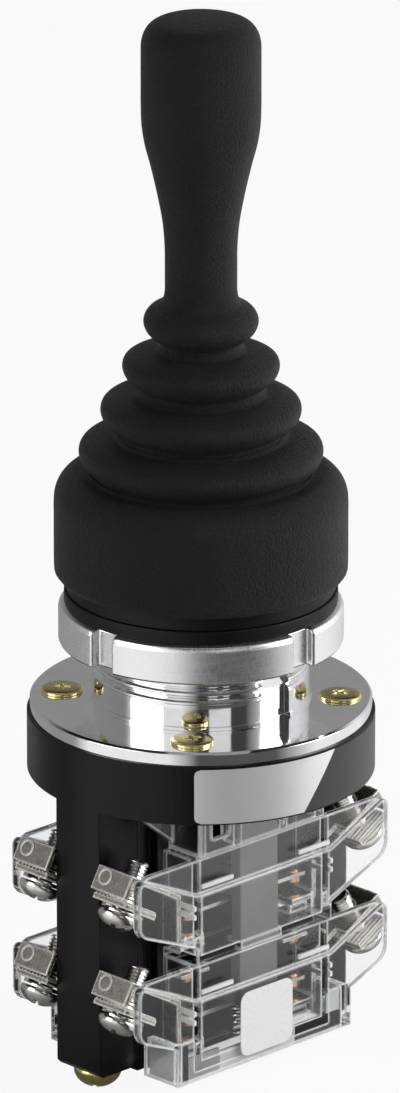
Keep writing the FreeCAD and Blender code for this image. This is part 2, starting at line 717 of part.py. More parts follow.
def pushrod_side():
    """Bar down the core's channel, with an arm that reaches out to the upper bridge."""
    arm_top = LEVELS["upper"] - BRIDGE_DROP + FOOT_T
    arm_out = CORE_HALF_Y - CORE_WALL - GAP
    head = box(-ROD_OUT, -HEAD_IN, -SIDE_ROD_HALF, SIDE_ROD_HALF, HEAD_TOP - HEAD_T, HEAD_TOP)
    bar = box(-ROD_OUT, ROD_T - ROD_OUT, -SIDE_ROD_HALF, SIDE_ROD_HALF, arm_top, HEAD_TOP - HEAD_T)
    arm = box(-ROD_OUT, FINGER_W / 2, -arm_out, -ARM_APART, arm_top - FOOT_T, arm_top)
    heel = box(-ROD_OUT, ROD_T - ROD_OUT, -SIDE_ROD_HALF, SIDE_ROD_HALF, arm_top - FOOT_T, arm_top)
    finger = box(-FINGER_W / 2, FINGER_W / 2, -BRIDGE_IN - BRIDGE_W, -ARM_APART,
                 arm_top - FOOT_T, arm_top)
    return fuse([head, bar, arm, heel, finger])


def bridge(z_top):
    """Moving contact bar under a pushrod's foot."""
    z = z_top - BRIDGE_DROP
    return box(-BRIDGE_HALF_X, BRIDGE_HALF_X, -BRIDGE_IN - BRIDGE_W, -BRIDGE_IN, z - BRIDGE_T, z)


def moving_contacts(z_top):
    z = z_top - BRIDGE_DROP - BRIDGE_T
    return [rod(CONTACT_R, z - CONTACT_T, z, x, -BRIDGE_Y) for x in (-CONTACT_X, CONTACT_X)]


def return_spring(z_top):
    """The coil spring's envelope, from the chamber's floor to the bridge."""
    z0 = z_top - UNIT_H + UNIT_WALL
    z1 = z_top - BRIDGE_DROP - BRIDGE_T
    return tube(SPRING_R, SPRING_R - SPRING_WIRE, z0, z1, 0, -BRIDGE_Y)


def fixed_contacts(z_top):
    """Contact buttons on the strips' feet."""
    strip_top = z_top - STRIP_TOP_DROP
    return [rod(BUTTON_R, strip_top, strip_top + BUTTON_T, x, -BRIDGE_Y) for x in (-CONTACT_X, CONTACT_X)]


def on_terminal(shape, z_top):
    """Moves a shape, made with the screw axis up at the origin, to the right-hand terminal.

    The screw's head side, down, turns to face down and outward."""
    copy = shape.copy()
    copy.rotate(V(0, 0, 0), V(0, 1, 0), -math.degrees(TERMINAL_TILT))
    copy.translate(V(TERMINAL_X, -TERMINAL_Y, z_top - TERMINAL_DROP))
    return copy


def terminal_strip(z_top):
    """Nickel strip: tilted screw plate with a lip, upright leg and contact foot."""
    half = TERMINAL_W / 2
    plate = box(-TERMINAL_IN, TERMINAL_OUT, -half, half, -STRIP_T, 0)
    lip = box(TERMINAL_OUT - STRIP_T, TERMINAL_OUT, -half, half, -LIP_H, 0)
    tab = plate.fuse(lip).cut(rod(TSCREW_R + FIT, -STRIP_T, 0))
    tab = on_terminal(tab, z_top)
    leg_x = UNIT_HALF_X + FIT
    foot_z = z_top - STRIP_TOP_DROP - STRIP_T
    run = TERMINAL_X - TERMINAL_IN * math.cos(TERMINAL_TILT)
    end_z = z_top - TERMINAL_DROP - TERMINAL_IN * math.sin(TERMINAL_TILT)
    under = STRIP_T / math.cos(TERMINAL_TILT)
    slope = math.tan(TERMINAL_TILT)
    leg_top = end_z - (run - leg_x - STRIP_T) * slope
    outline = [
        (STRIP_END_X, foot_z),
        (leg_x + STRIP_T, foot_z),
        (leg_x + STRIP_T, leg_top - under),
        (run + 0.5, end_z - under + 0.5 * slope),
        (run + 0.5, end_z + 0.5 * slope),
        (leg_x, leg_top - STRIP_T * slope),
        (leg_x, foot_z + STRIP_T),
        (STRIP_END_X, foot_z + STRIP_T),
    ]
    leg = slab(outline, -BRIDGE_Y - STRIP_W / 2, -BRIDGE_Y + STRIP_W / 2)
    return fuse([tab, leg])


def terminal_screw(z_top):
    length = CLAMP_AT + CLAMP_T + WASHER_T + TSCREW_TIP
    one = screw(TSCREW_HEAD_R, TSCREW_HEAD_H, TSCREW_R, length)
    one.rotate(V(0, 0, 0), V(1, 0, 0), 180)
    one.translate(V(0, 0, TSCREW_TIP - length))
    return on_terminal(one, z_top)


def clamp_plate(z_top):
    """Square pressure plate with its two far edges turned up towards the wire."""
    half = CLAMP_L / 2
    half_w = TERMINAL_W / 2 - CLAMP_NARROWER
    plate = box(-half, half, -half_w, half_w, -CLAMP_AT - CLAMP_T, -CLAMP_AT)
    plate = plate.cut(rod(TSCREW_R + FIT, -CLAMP_AT - CLAMP_T, -CLAMP_AT))
    return on_terminal(plate, z_top)


def spring_washer(z_top):
    low = -CLAMP_AT - CLAMP_T - WASHER_T
    return on_terminal(tube(WASHER_R, TSCREW_R + FIT, low, low + WASHER_T), z_top)


def mirrored(shape):
    """The left-hand twin of a right-hand terminal piece."""
    return shape.mirror(V(0, 0, 0), V(1, 0, 0))


def all_terminals(make):
    """One solid per terminal: both ends of every housing."""
    solids = []
    for turn in SIDES.values():
        for z_top in LEVELS.values():
            right = make(z_top)
            solids += [turned(right, turn), turned(mirrored(right), turn)]
    return Part.makeCompound(solids)


def contact_units():
    """The nodes of the four contact units: a housing, its strips and its moving pieces."""
    nodes = {}
    for side, turn in SIDES.items():
        for level, z_top in LEVELS.items():
            unit = side + "_" + level
            right = terminal_strip(z_top)
            nodes["housing_" + unit] = turned(housing(z_top, level == "lower"), turn)
            nodes["terminal_strip_" + unit + "_right"] = turned(right, turn)
            nodes["terminal_strip_" + unit + "_left"] = turned(mirrored(right), turn)
            nodes["bridge_" + unit] = turned(bridge(z_top), turn)
            nodes["moving_contacts_" + unit] = Part.makeCompound(
                [turned(c, turn) for c in moving_contacts(z_top)])
            nodes["return_spring_" + unit] = turned(return_spring(z_top), turn)
    return nodes


def model():
    rivets = [
        turned(rivet, turn)
        for turn in SIDES.values()
        for z_top in LEVELS.values()
        for rivet in fixed_contacts(z_top)
    ]
    nodes = {
        "grip": grip(),
        "lever_shaft": lever_shaft(),
        "rocker": rocker(),
        "pivot_pin_x": pivot_pin_x(),
        "gimbal_ring": gimbal_ring(),
        "pivot_pins_y": pivot_pins_y(),
        "gimbal_carrier": gimbal_carrier(),
        "rubber_boot": rubber_boot(),
        "boot_collar": boot_collar(),
        "seal_gasket": seal_gasket(),
        "ring_nut": ring_nut(),
        "neck_flange": neck_flange(),
        "flange_screws": flange_screws(),
        "frame_body": frame_body(),
        "leg_screws": leg_screws(),
        "contact_core": contact_core(),
        "core_cover": core_cover(),
        "adapter_guides": adapter_guides(),
        "pushrod_front": pushrod_main(),
        "pushrod_rear": turned(pushrod_main(), 180),
        "pushrod_left": pushrod_side(),
        "pushrod_right": turned(pushrod_side(), 180),
        "fixed_contacts": Part.makeCompound(rivets),
        "terminal_screws": all_terminals(terminal_screw),
        "clamp_plates": all_terminals(clamp_plate),
        "spring_washers": all_terminals(spring_washer),
    }
    nodes.update(contact_units())
    return nodes


def main():
    os.makedirs("parts", exist_ok=True)
    nodes = model()
    for name, shape in nodes.items():
        good = shape.isValid() and all(s.Volume > 0 for s in shape.Solids)
        print(f"{name}: {len(shape.Solids)} solids, {shape.Volume:.1f} mm3, {'ok' if good else 'BAD'}")
        shape.exportStep(f"parts/{name}.step")
    print(len(nodes), "nodes")


main()
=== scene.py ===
# %% [markdown]
# # Industrial joystick: dressing the CAD frame
# The part is a lever switch for a control panel. A black grip tilts on a hidden two-axis
# pivot, a rubber bellows keeps dirt out, a chromed neck goes through the panel, and clear
# contact housings with screw terminals hang below. The CAD model holds every piece at its
# real size. This lesson gives each piece the surface that the real one has.

# %% Load the frame
import json
import math

import bmesh
import bpy
import numpy as np
from mathutils import Matrix, Vector

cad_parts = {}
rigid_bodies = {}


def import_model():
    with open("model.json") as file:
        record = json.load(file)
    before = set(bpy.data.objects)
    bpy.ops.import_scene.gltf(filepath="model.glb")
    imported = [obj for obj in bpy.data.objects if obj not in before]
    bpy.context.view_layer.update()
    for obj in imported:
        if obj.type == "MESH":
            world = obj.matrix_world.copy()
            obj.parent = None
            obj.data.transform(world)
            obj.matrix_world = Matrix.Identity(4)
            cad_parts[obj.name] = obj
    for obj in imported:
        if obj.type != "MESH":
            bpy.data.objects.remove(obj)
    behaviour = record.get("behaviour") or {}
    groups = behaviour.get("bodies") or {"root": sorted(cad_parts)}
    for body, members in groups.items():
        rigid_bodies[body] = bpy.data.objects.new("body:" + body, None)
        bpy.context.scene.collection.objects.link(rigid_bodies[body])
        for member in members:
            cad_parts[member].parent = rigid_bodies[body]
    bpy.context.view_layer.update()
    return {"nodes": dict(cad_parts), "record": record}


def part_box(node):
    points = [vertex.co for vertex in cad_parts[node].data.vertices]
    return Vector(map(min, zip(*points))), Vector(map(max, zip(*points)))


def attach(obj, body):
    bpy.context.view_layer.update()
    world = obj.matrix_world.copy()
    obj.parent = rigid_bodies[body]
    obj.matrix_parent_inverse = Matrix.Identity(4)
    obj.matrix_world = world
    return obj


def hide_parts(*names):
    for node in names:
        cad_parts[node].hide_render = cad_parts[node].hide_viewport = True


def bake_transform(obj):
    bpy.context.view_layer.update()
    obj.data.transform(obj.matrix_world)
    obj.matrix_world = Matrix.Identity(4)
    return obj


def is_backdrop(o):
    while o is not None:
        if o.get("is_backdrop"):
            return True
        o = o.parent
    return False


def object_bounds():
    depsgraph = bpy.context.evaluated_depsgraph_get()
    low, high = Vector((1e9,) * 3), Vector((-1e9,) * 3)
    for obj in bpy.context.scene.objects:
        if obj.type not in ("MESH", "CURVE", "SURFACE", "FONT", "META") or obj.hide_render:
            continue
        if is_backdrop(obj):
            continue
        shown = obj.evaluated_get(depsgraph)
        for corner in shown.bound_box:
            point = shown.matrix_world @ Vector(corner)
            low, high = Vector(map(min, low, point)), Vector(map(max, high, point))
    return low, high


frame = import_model()
MM = 0.001


# %% [markdown]
# ## Small node helpers
# A material here is a short recipe: noise or lines in object space feed the colour, the
# roughness and a bump. Object space is in metres, so a scale of 4000 makes grains of a
# quarter of a millimetre. Short helpers keep each recipe readable: one adds a node and wires
# its inputs, one does sums, and one makes the material and hands back its main shader.

# %% Node helpers
MATERIALS = {}
EDGE_START = 0.997
EDGE_SAMPLES = 6


def add_node(tree, kind, inputs=None, **settings):
    """Adds a node. Each input is a plain value, or an output socket to wire in."""
    node = tree.nodes.new(kind)
    for key, value in settings.items():
        setattr(node, key, value)
    for key, value in (inputs or {}).items():
        if isinstance(value, bpy.types.NodeSocket):
            tree.links.new(value, node.inputs[key])
        else:
            node.inputs[key].default_value = value
    return node


def maths(tree, operation, *values):
    return add_node(tree, "ShaderNodeMath", dict(enumerate(values)), operation=operation).outputs[0]


def vector_maths(tree, operation, *values):
    node = add_node(tree, "ShaderNodeVectorMath", dict(enumerate(values)), operation=operation)
    return node.outputs["Value" if operation in ("LENGTH", "DOT_PRODUCT") else "Vector"]


def split_xyz(tree, vector):
    return add_node(tree, "ShaderNodeSeparateXYZ", {"Vector": vector}).outputs


def mix_shaders(tree, factor, first, second):
    return add_node(tree, "ShaderNodeMixShader", {0: factor, 1: first, 2: second}).outputs[0]


def new_material(name, **sockets):
    """A node material, kept in MATERIALS: (its tree, its main shader, object coordinates)."""
    material = bpy.data.materials.new(name)
    material.use_nodes = True
    MATERIALS[name] = material
    tree = material.node_tree
    shader = tree.nodes["Principled BSDF"]
    for key, value in sockets.items():
        shader.inputs[key.replace("_", " ")].default_value = value
    return tree, shader, add_node(tree, "ShaderNodeTexCoord").outputs["Object"]


def wire(tree, shader, **sockets):
    """Links each pattern to the shader's input of that name."""
    for key, value in sockets.items():
        tree.links.new(value, shader.inputs[key.replace("_", " ")])


def stretched(tree, place, scale):
    return add_node(tree, "ShaderNodeMapping", {"Vector": place, "Scale": scale}).outputs[0]


def noise(tree, place, scale, detail=3.0, roughness=0.5):
    inputs = {"Vector": place, "Scale": scale, "Detail": detail, "Roughness": roughness}
    return add_node(tree, "ShaderNodeTexNoise", inputs).outputs["Fac"]


def spread(tree, value, low, high, start=0.3, end=0.7):
    """Maps a 0 to 1 pattern onto a range of values."""
    inputs = {"Value": value, "From Min": start, "From Max": end, "To Min": low, "To Max": high}
    return add_node(tree, "ShaderNodeMapRange", inputs).outputs[0]


def blend_colours(tree, factor, first, second):
    """Mixes two colours. Each is a plain (r, g, b) or an output socket."""
    ends = {key: colour if isinstance(colour, bpy.types.NodeSocket) else (*colour, 1)
            for key, colour in (("A", first), ("B", second))}
    return add_node(tree, "ShaderNodeMix", {"Factor": factor, **ends}, data_type="RGBA").outputs["Result"]


def bump(tree, height, distance, strength=1.0):
    inputs = {"Height": height, "Distance": distance, "Strength": strength}
    return add_node(tree, "ShaderNodeBump", inputs).outputs[0]


def edge_mask(tree, radius, full=0.86):
    """Near 1 at sharp edges, 0 on flat faces: how far a rounded normal leans from the true one."""
    round_normal = add_node(tree, "ShaderNodeBevel", {"Radius": radius}, samples=EDGE_SAMPLES).outputs[0]
    true_normal = add_node(tree, "ShaderNodeNewGeometry").outputs["Normal"]
    lean = vector_maths(tree, "DOT_PRODUCT", round_normal, true_normal)
    return spread(tree, lean, 0.0, 1.0, start=EDGE_START, end=full)


# %% [markdown]
# ## Blacks: moulded grip, rubber boot and phenolic frame
# The grip and boot are matte with a fine pebble. One noise bumps the surface and varies
# the roughness, and pale flecks at a finer scale are painted in as a highlight: the sparkle
# the pebble shows in the light. The boot is rubber: a touch of sheen gives the dusty rim it
# shows where it turns away. The frame is a harder black, so its grain is lower, and its
# edges carry a painted highlight, a slightly paler line.

# %% Black materials
PEBBLE_DARK = (0.003, 0.003, 0.0032)
PEBBLE_PALE = (0.006, 0.006, 0.0063)
PEBBLE_ROUGH = 0.48


def pebbled(name, grain_mm, height_mm, sheen):
    tree, shader, place = new_material(
        name, Sheen_Weight=sheen, Sheen_Roughness=0.4, Specular_IOR_Level=0.24)
    grain = noise(tree, place, 1 / (grain_mm * MM), detail=4.0, roughness=0.65)
    cloud = noise(tree, place, 90.0)
    sparkle_noise = noise(tree, place, 1 / (0.45 * grain_mm * MM), detail=1.0)
    tone = blend_colours(tree, spread(tree, cloud, 0.0, 1.0), PEBBLE_DARK, PEBBLE_PALE)
    # painted highlight: pale flecks in the colour stand for the sparkle of the pebble in the light
    painted_sparkle = spread(tree, sparkle_noise, 0.0, 0.6, start=0.58, end=0.78)
    wire(tree, shader, Base_Color=blend_colours(tree, painted_sparkle, tone, tuple(4 * c for c in PEBBLE_PALE)),
         Roughness=spread(tree, grain, PEBBLE_ROUGH - 0.09, PEBBLE_ROUGH + 0.1),
         Normal=bump(tree, grain, height_mm * MM))


def moulded_black(name, base, painted_glint_colour, rough):
    tree, shader, place = new_material(name, Specular_IOR_Level=0.2)
    grain = noise(tree, place, 5500.0)
    cloud = noise(tree, place, 160.0, detail=4.0)
    # painted highlight: a slightly paler line painted along the edges
    painted_edge_glint = maths(tree, "MULTIPLY", edge_mask(tree, 0.25 * MM), spread(tree, cloud, 0.2, 0.9))
    wire(tree, shader, Base_Color=blend_colours(tree, painted_edge_glint, base, painted_glint_colour),
         Roughness=spread(tree, cloud, rough - 0.07, rough + 0.08), Normal=bump(tree, grain, 0.012 * MM))


pebbled("grip_black", 0.34, 0.34, 0.03)
pebbled("boot_rubber", 0.38, 0.4, 0.04)
moulded_black("seal_rubber", (0.004, 0.004, 0.004), (0.012, 0.012, 0.012), 0.5)
moulded_black("inner_black", (0.004, 0.004, 0.004), (0.012, 0.012, 0.012), 0.5)
moulded_black("frame_black", (0.003, 0.003, 0.0032), (0.03, 0.03, 0.03), 0.34)
print("blacks:", sorted(MATERIALS))


# %% [markdown]
# ## Metals
# Every metal is the same idea with other numbers: a tint, a roughness that drifts with
# noise, and fine lines. The lines run the way the tool went: round the turned nut and
# across plated strips. Zinc passivate is thin and uneven, so its colour drifts between
# straw and olive.

# %% Metal materials
def metal(name, tint, second, rough, spread_by, lines, line_height_mm, patch=260.0, painted_glint=0.0):
    """lines stretches the noise: large numbers run across the scratches."""
    tree, shader, place = new_material(name, Metallic=1.0)
    drift = noise(tree, place, patch, detail=4.0, roughness=0.6)
    scratch = noise(tree, stretched(tree, place, lines), 1.0, roughness=0.7)
    colour = blend_colours(tree, spread(tree, drift, 0.0, 1.0, 0.38, 0.66), tint, second)
    # painted highlight: near the edges the colour is painted paler and less metallic, a glint on each edge
    if painted_glint:
        edges = edge_mask(tree, 0.5 * MM, full=0.95)
        colour = blend_colours(tree, edges, colour, tuple(min(1.0, c * (1 + painted_glint)) for c in tint))
        wire(tree, shader, Metallic=spread(tree, edges, 1.0, 1.0 - 0.85 * min(painted_glint, 1.0), 0.0, 1.0))
    uneven = maths(tree, "ADD", drift, scratch)
    wire(tree, shader, Base_Color=colour,
         Roughness=spread(tree, uneven, rough - spread_by, rough + spread_by, 0.75, 1.25),
         Normal=bump(tree, scratch, line_height_mm * MM))


def turned_metal(name, tint, rough, line_height_mm):
    """Satin aluminium with fine upright and round tool lines, seen on the nut's rim."""
    tree, shader, place = new_material(name, Metallic=1.0, Anisotropic=0.45)
    parts = split_xyz(tree, place)
    angle = maths(tree, "ARCTAN2", parts["Y"], parts["X"])
    radius = vector_maths(tree, "LENGTH", vector_maths(tree, "MULTIPLY", place, (1, 1, 0)))
    around = add_node(tree, "ShaderNodeCombineXYZ", {"X": angle, "Y": parts["Z"], "Z": radius}).outputs[0]
    upright = noise(tree, stretched(tree, around, (170.0, 900.0, 900.0)), 1.0, detail=4.0)
    rings = noise(tree, stretched(tree, around, (5.0, 9000.0, 9000.0)), 1.0)
    both = maths(tree, "ADD", upright, rings)
    cloud = noise(tree, place, 120.0)
    paler = tuple(min(1.0, 1.06 * c) for c in tint)
    wire(tree, shader, Base_Color=blend_colours(tree, spread(tree, cloud, 0, 1), tint, paler),
         Roughness=spread(tree, both, rough - 0.06, rough + 0.08, 0.75, 1.25),
         Normal=bump(tree, both, line_height_mm * MM))


turned_metal("nut_aluminium", (0.83, 0.83, 0.84), 0.3, 0.004)
metal("neck_chrome", (0.86, 0.86, 0.87), (0.8, 0.8, 0.81), 0.07, 0.035, (900, 900, 2500), 0.0012, 180.0)
metal("yellow_zinc", (0.62, 0.52, 0.25), (0.4, 0.33, 0.13), 0.15, 0.07, (2600, 2600, 900), 0.004, 700.0, 0.7)
metal("nickel", (0.46, 0.44, 0.41), (0.22, 0.21, 0.185), 0.25, 0.08, (700, 3800, 3800), 0.008, 900.0, 1.1)
# painted highlight: a paler copy of the nickel for the screws and washers, for the light they catch
metal("bright_nickel", (0.78, 0.76, 0.73), (0.62, 0.6, 0.57), 0.17, 0.07, (900, 900, 900), 0.004, 700.0)
metal("bridge_metal", (0.7, 0.66, 0.58), (0.6, 0.56, 0.48), 0.3, 0.06, (400, 5000, 5000), 0.004)
metal("copper", (0.8, 0.46, 0.33), (0.66, 0.36, 0.25), 0.24, 0.07, (2200, 2200, 2200), 0.003)
metal("spring_steel", (0.62, 0.62, 0.63), (0.5, 0.5, 0.51), 0.25, 0.06, (1500, 1500, 1500), 0.003)
metal("steel", (0.6, 0.6, 0.61), (0.5, 0.5, 0.52), 0.3, 0.08, (1500, 1500, 5200), 0.004)
print("metals done:", len(MATERIALS))


# %% [markdown]
# ## Plastics and labels
# The housings are clear polycarbonate. A real one is seen by its edges, where light runs
# inside the wall and comes out bright. The shader is true refraction, with rays from lamps
# let straight through to light what is inside, and that edge light is painted in: near
# each edge the wall turns an opaque white. The cover and pushrods are dull grey.
# The labels are bare: a silver foil, a dark foil beside it and a white paper square.

# %% Plastic materials
def clear_plastic(name):
    tree, shader, place = new_material(name, Base_Color=(0.94, 0.945, 0.945, 1), IOR=1.5)
    wave = noise(tree, place, 120.0, detail=2.0)
    haze = noise(tree, place, 350.0, detail=4.0)
    # painted highlight: near each edge the wall is painted an opaque white, for the light that comes out
    # there
    painted_edge_light = maths(tree, "MULTIPLY", edge_mask(tree, 0.7 * MM, full=0.93), spread(tree, haze, 0.7, 1.0))
    wire(tree, shader, Transmission_Weight=maths(tree, "SUBTRACT", 1.0, painted_edge_light),
         Roughness=spread(tree, haze, 0.02, 0.09), Normal=bump(tree, wave, 0.02 * MM, 0.5))
    lamp_ray = add_node(tree, "ShaderNodeLightPath").outputs["Is Shadow Ray"]
    through = add_node(tree, "ShaderNodeBsdfTransparent", {"Color": (0.93, 0.94, 0.94, 1)}).outputs[0]
    both = mix_shaders(tree, lamp_ray, shader.outputs[0], through)
    wire(tree, tree.nodes["Material Output"], Surface=both)


def dull_plastic(name, base, paler, rough):
    tree, shader, place = new_material(name)
    cloud = noise(tree, place, 240.0, detail=4.0)
    grain = noise(tree, place, 6000.0, detail=2.0)
    wire(tree, shader, Base_Color=blend_colours(tree, spread(tree, cloud, 0, 1), base, paler),
         Roughness=spread(tree, grain, rough - 0.05, rough + 0.08), Normal=bump(tree, grain, 0.01 * MM))


def silver_foil(name):
    """Printed foil: fine brushed lines across, so one side looks bright and the other grey."""
    tree, shader, place = new_material(name, Metallic=0.55)
    lines = noise(tree, stretched(tree, place, (300, 300, 14000)), 1.0, detail=2.0)
    wire(tree, shader, Base_Color=blend_colours(tree, lines, (0.84, 0.84, 0.84), (0.93, 0.93, 0.93)),
         Roughness=spread(tree, lines, 0.34, 0.46), Normal=bump(tree, lines, 0.002 * MM))


STICKER_SPOKES = 44


def paper_white(name, centre):
    """White paper with faint pressed lines that run out from the middle."""
    tree, shader, place = new_material(name, Roughness=0.55)
    away = vector_maths(tree, "SUBTRACT", place, centre)
    parts = split_xyz(tree, away)
    angle = maths(tree, "ARCTAN2", parts["Z"], parts["X"])
    spokes = maths(tree, "SINE", maths(tree, "MULTIPLY", angle, STICKER_SPOKES / 2))
    ridge = maths(tree, "MULTIPLY", spokes, noise(tree, place, 2500.0))
    tone = spread(tree, ridge, 0.0, 1.0, 0.1, 0.6)
    wire(tree, shader, Base_Color=blend_colours(tree, tone, (0.97, 0.97, 0.97), (0.925, 0.93, 0.935)),
         Normal=bump(tree, ridge, 0.004 * MM))


clear_plastic("clear_plastic")
dull_plastic("cover_grey", (0.035, 0.035, 0.036), (0.05, 0.05, 0.051), 0.55)
dull_plastic("pushrod_grey", (0.11, 0.11, 0.11), (0.14, 0.14, 0.14), 0.45)
dull_plastic("label_dark", (0.024, 0.024, 0.025), (0.034, 0.034, 0.035), 0.4)
# painted highlight: opaque white that stands for bright light in clear plastic, on the catches and ledges
dull_plastic("frosted_edge", (0.86, 0.87, 0.87), (0.93, 0.94, 0.94), 0.35)
dull_plastic("liner_grey", (0.2, 0.2, 0.2), (0.32, 0.32, 0.32), 0.3)
dull_plastic("liner_pale", (0.46, 0.46, 0.46), (0.6, 0.6, 0.6), 0.3)
silver_foil("label_silver")
print("materials:", len(MATERIALS))


# %% [markdown]
# ## Mesh helpers
# Most hard pieces need only softened edges: no moulded or plated part has a knife edge,
# and the thin highlight along each edge is what makes it look real. So a piece is made as
# a clean copy of its CAD solid, flat facets joined, with a small bevel. Round pieces with
# soft shapes are turned on a lathe from a smooth outline instead.

# %% Mesh helpers
WELD = 2e-6
FLAT = math.radians(0.6)
SHARP = math.radians(28)


def linked(name, data):
    thing = bpy.data.objects.new(name, data)
    bpy.context.collection.objects.link(thing)
    return thing


def new_piece(name, mesh, material, body, node=None):
    """Puts a finished mesh in the scene, riding on a CAD body. It may stand for a CAD node."""
    piece = linked(name, mesh)
    mesh.materials.clear()
    mesh.materials.append(MATERIALS[material])
    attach(piece, body)
    if node is not None:
        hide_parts(node)
    return piece


def mesh_of(bm, name, smooth=True):
    mesh = bpy.data.meshes.new(name)
    bmesh.ops.recalc_face_normals(bm, faces=bm.faces)
    bm.to_mesh(mesh)
    bm.free()
    if smooth:
        mesh.shade_smooth()
        mesh.set_sharp_from_angle(angle=SHARP)
    return mesh


def modify(holder, kind, **settings):
    modifier = holder.modifiers.new(kind.lower(), kind)
    for key, value in settings.items():
        setattr(modifier, key, value)


def softened(mesh, width_mm, segments=2, cut=None):
    """The mesh with its sharp edges bevelled, after an optional subtraction. Flat faces stay flat."""
    holder = linked("holder", mesh)
    if cut is not None:
        modify(holder, "BOOLEAN", object=cut, operation="DIFFERENCE", solver="EXACT", use_self=True)
    modify(holder, "BEVEL", width=width_mm * MM, segments=segments, limit_method="ANGLE",
           angle_limit=SHARP, use_clamp_overlap=True)
    modify(holder, "WEIGHTED_NORMAL", keep_sharp=True)
    graph = bpy.context.evaluated_depsgraph_get()
    done = bpy.data.meshes.new_from_object(holder.evaluated_get(graph))
    bpy.data.objects.remove(holder)
    return done


def copied(node):
    """A clean copy of a CAD node: welded, with its flat facets joined."""
    bm = bmesh.new()
    bm.from_mesh(frame["nodes"][node].data)
    bmesh.ops.remove_doubles(bm, verts=bm.verts, dist=WELD)
    bmesh.ops.dissolve_limit(bm, angle_limit=FLAT, verts=bm.verts, edges=bm.edges)
    return mesh_of(bm, node)


def body_of(node):
    return frame["nodes"][node].parent.name.removeprefix("body:")


def slot_of(node):
    return next(s["material_slot"] for s in frame["record"]["subparts"] if s["node"] == node)


def dressed(node, width_mm, segments=2, shape=None):
    """A bevelled copy of a CAD node that stands for it. shape changes the copy before its bevel."""
    mesh = copied(node)
    if shape is not None:
        shape(mesh)
    new_piece(node + "_looks", softened(mesh, width_mm, segments), slot_of(node), body_of(node), node=node)


def curve_through(points, steps=7):
    """A smooth line through (r, z) points that keeps its two ends."""
    pts = [np.array(p, float) for p in points]
    pts = [2 * pts[0] - pts[1]] + pts + [2 * pts[-1] - pts[-2]]
    line = []
    for a, b, c, d in zip(pts, pts[1:], pts[2:], pts[3:]):
        for t in np.arange(steps) / steps:
            line.append(0.5 * (2 * b + (c - a) * t + (2 * a - 5 * b + 4 * c - d) * t**2
                               + (3 * b - a - 3 * c + d) * t**3))
    return line + [pts[-2]]


def rounded(corners, radius, steps=4):
    """A closed outline with each corner cut by a short smooth bend."""
    line = []
    count = len(corners)
    for i, corner in enumerate(corners):
        here = np.array(corner, float)
        before, after = (np.array(corners[(i + s) % count], float) - here for s in (-1, 1))
        if here[0] < 1e-6:
            line.append(here)
            continue
        reach = min(radius, 0.45 * np.linalg.norm(before), 0.45 * np.linalg.norm(after))
        start = here + before / np.linalg.norm(before) * reach
        end = here + after / np.linalg.norm(after) * reach
        for t in np.arange(steps + 1) / steps:
            line.append((1 - t) ** 2 * start + 2 * t * (1 - t) * here + t**2 * end)
    return line


def lathe(outline, steps=160):
    """Turns a closed outline of (r, z) points, in mm, about the upright axis."""
    bm = bmesh.new()
    rings = []
    for r, z in outline:
        if r < 1e-5:
            rings.append([bm.verts.new((0, 0, z * MM))])
            continue
        turn = (2 * math.pi * i / steps for i in range(steps))
        rings.append([bm.verts.new((r * MM * math.cos(a), r * MM * math.sin(a), z * MM)) for a in turn])
    for low, high in zip(rings, rings[1:] + rings[:1]):
        if len(low) == len(high) == 1:
            continue
        for i in range(steps):
            j = (i + 1) % steps
            corners = [low[i % len(low)], low[j % len(low)], high[j % len(high)], high[i % len(high)]]
            bm.faces.new(list(dict.fromkeys(corners)))
    return bm


def prism(outline, y0, y1, name):
    """A closed outline of (x, z) points, in mm, drawn out along Y between two places in metres."""
    bm = bmesh.new()
    near, far = ([bm.verts.new((x * MM, y, z * MM)) for x, z in outline] for y in (y0, y1))
    bm.faces.new(near)
    bm.faces.new(far[::-1])
    for i in range(len(near)):
        j = (i + 1) % len(near)
        bm.faces.new([near[j], near[i], far[i], far[j]])
    return mesh_of(bm, name)


def skin(bm, rings):
    """Side faces between closed rings of points, and a cap at each end."""
    for a, b in zip(rings, rings[1:]):
        for i in range(len(a)):
            j = (i + 1) % len(a)
            bm.faces.new([a[i], a[j], b[j], b[i]])
    bm.faces.new(rings[0][::-1])
    bm.faces.new(rings[-1])


def joined(meshes, name):
    """One mesh from several."""
    bm = bmesh.new()
    for mesh in meshes:
        bm.from_mesh(mesh)
    return mesh_of(bm, name)


def moved(mesh, matrix):
    copy = mesh.copy()
    copy.transform(matrix)
    return copy


# %% [markdown]
# ## Bare CAD nodes get their finish
# Some pieces are hidden inside, such as the pivot and the pushrods, and their CAD shape is
# right as it is. They only need the material of their slot, so it goes into the slots of
# the CAD objects, whose meshes stay untouched.

# %% Finish every CAD node
for node_name, node_object in frame["nodes"].items():
    for material_slot in node_object.material_slots:
        material_slot.material = MATERIALS[slot_of(node_name)]
print("finished nodes:", len(frame["nodes"]))


# %% [markdown]
# ## Rubber boot
# The real boot is one moulding: a wide cup that grips a ring on the neck, and four
# umbrella folds that shrink upwards until the rubber hugs the grip. Each fold is a
# rounded rim, a gentle slope above it and a deep groove below, so the outline is a smooth
# curve through a few points per fold, and the inside follows at the wall's thickness. It
# is made in two pieces that meet in a groove: the cup with the lowest fold, and the upper
# folds.

# %% Boot outline
cup_low, cup_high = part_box("rubber_boot")
CUP_R = cup_high.x / MM
CUP_FOOT = cup_low.z / MM
BOOT_TOP = cup_high.z / MM
WAIST_R = 4.95
RUBBER_T = 1.0
RIDGES = [(16.8, 35.6), (13.8, 41.6), (10.8, 47.9), (7.9, 54.3)]
CUP_SHOULDER = 32.6
GROOVE_R_IN = 2.35
NECK_RING = 0.6


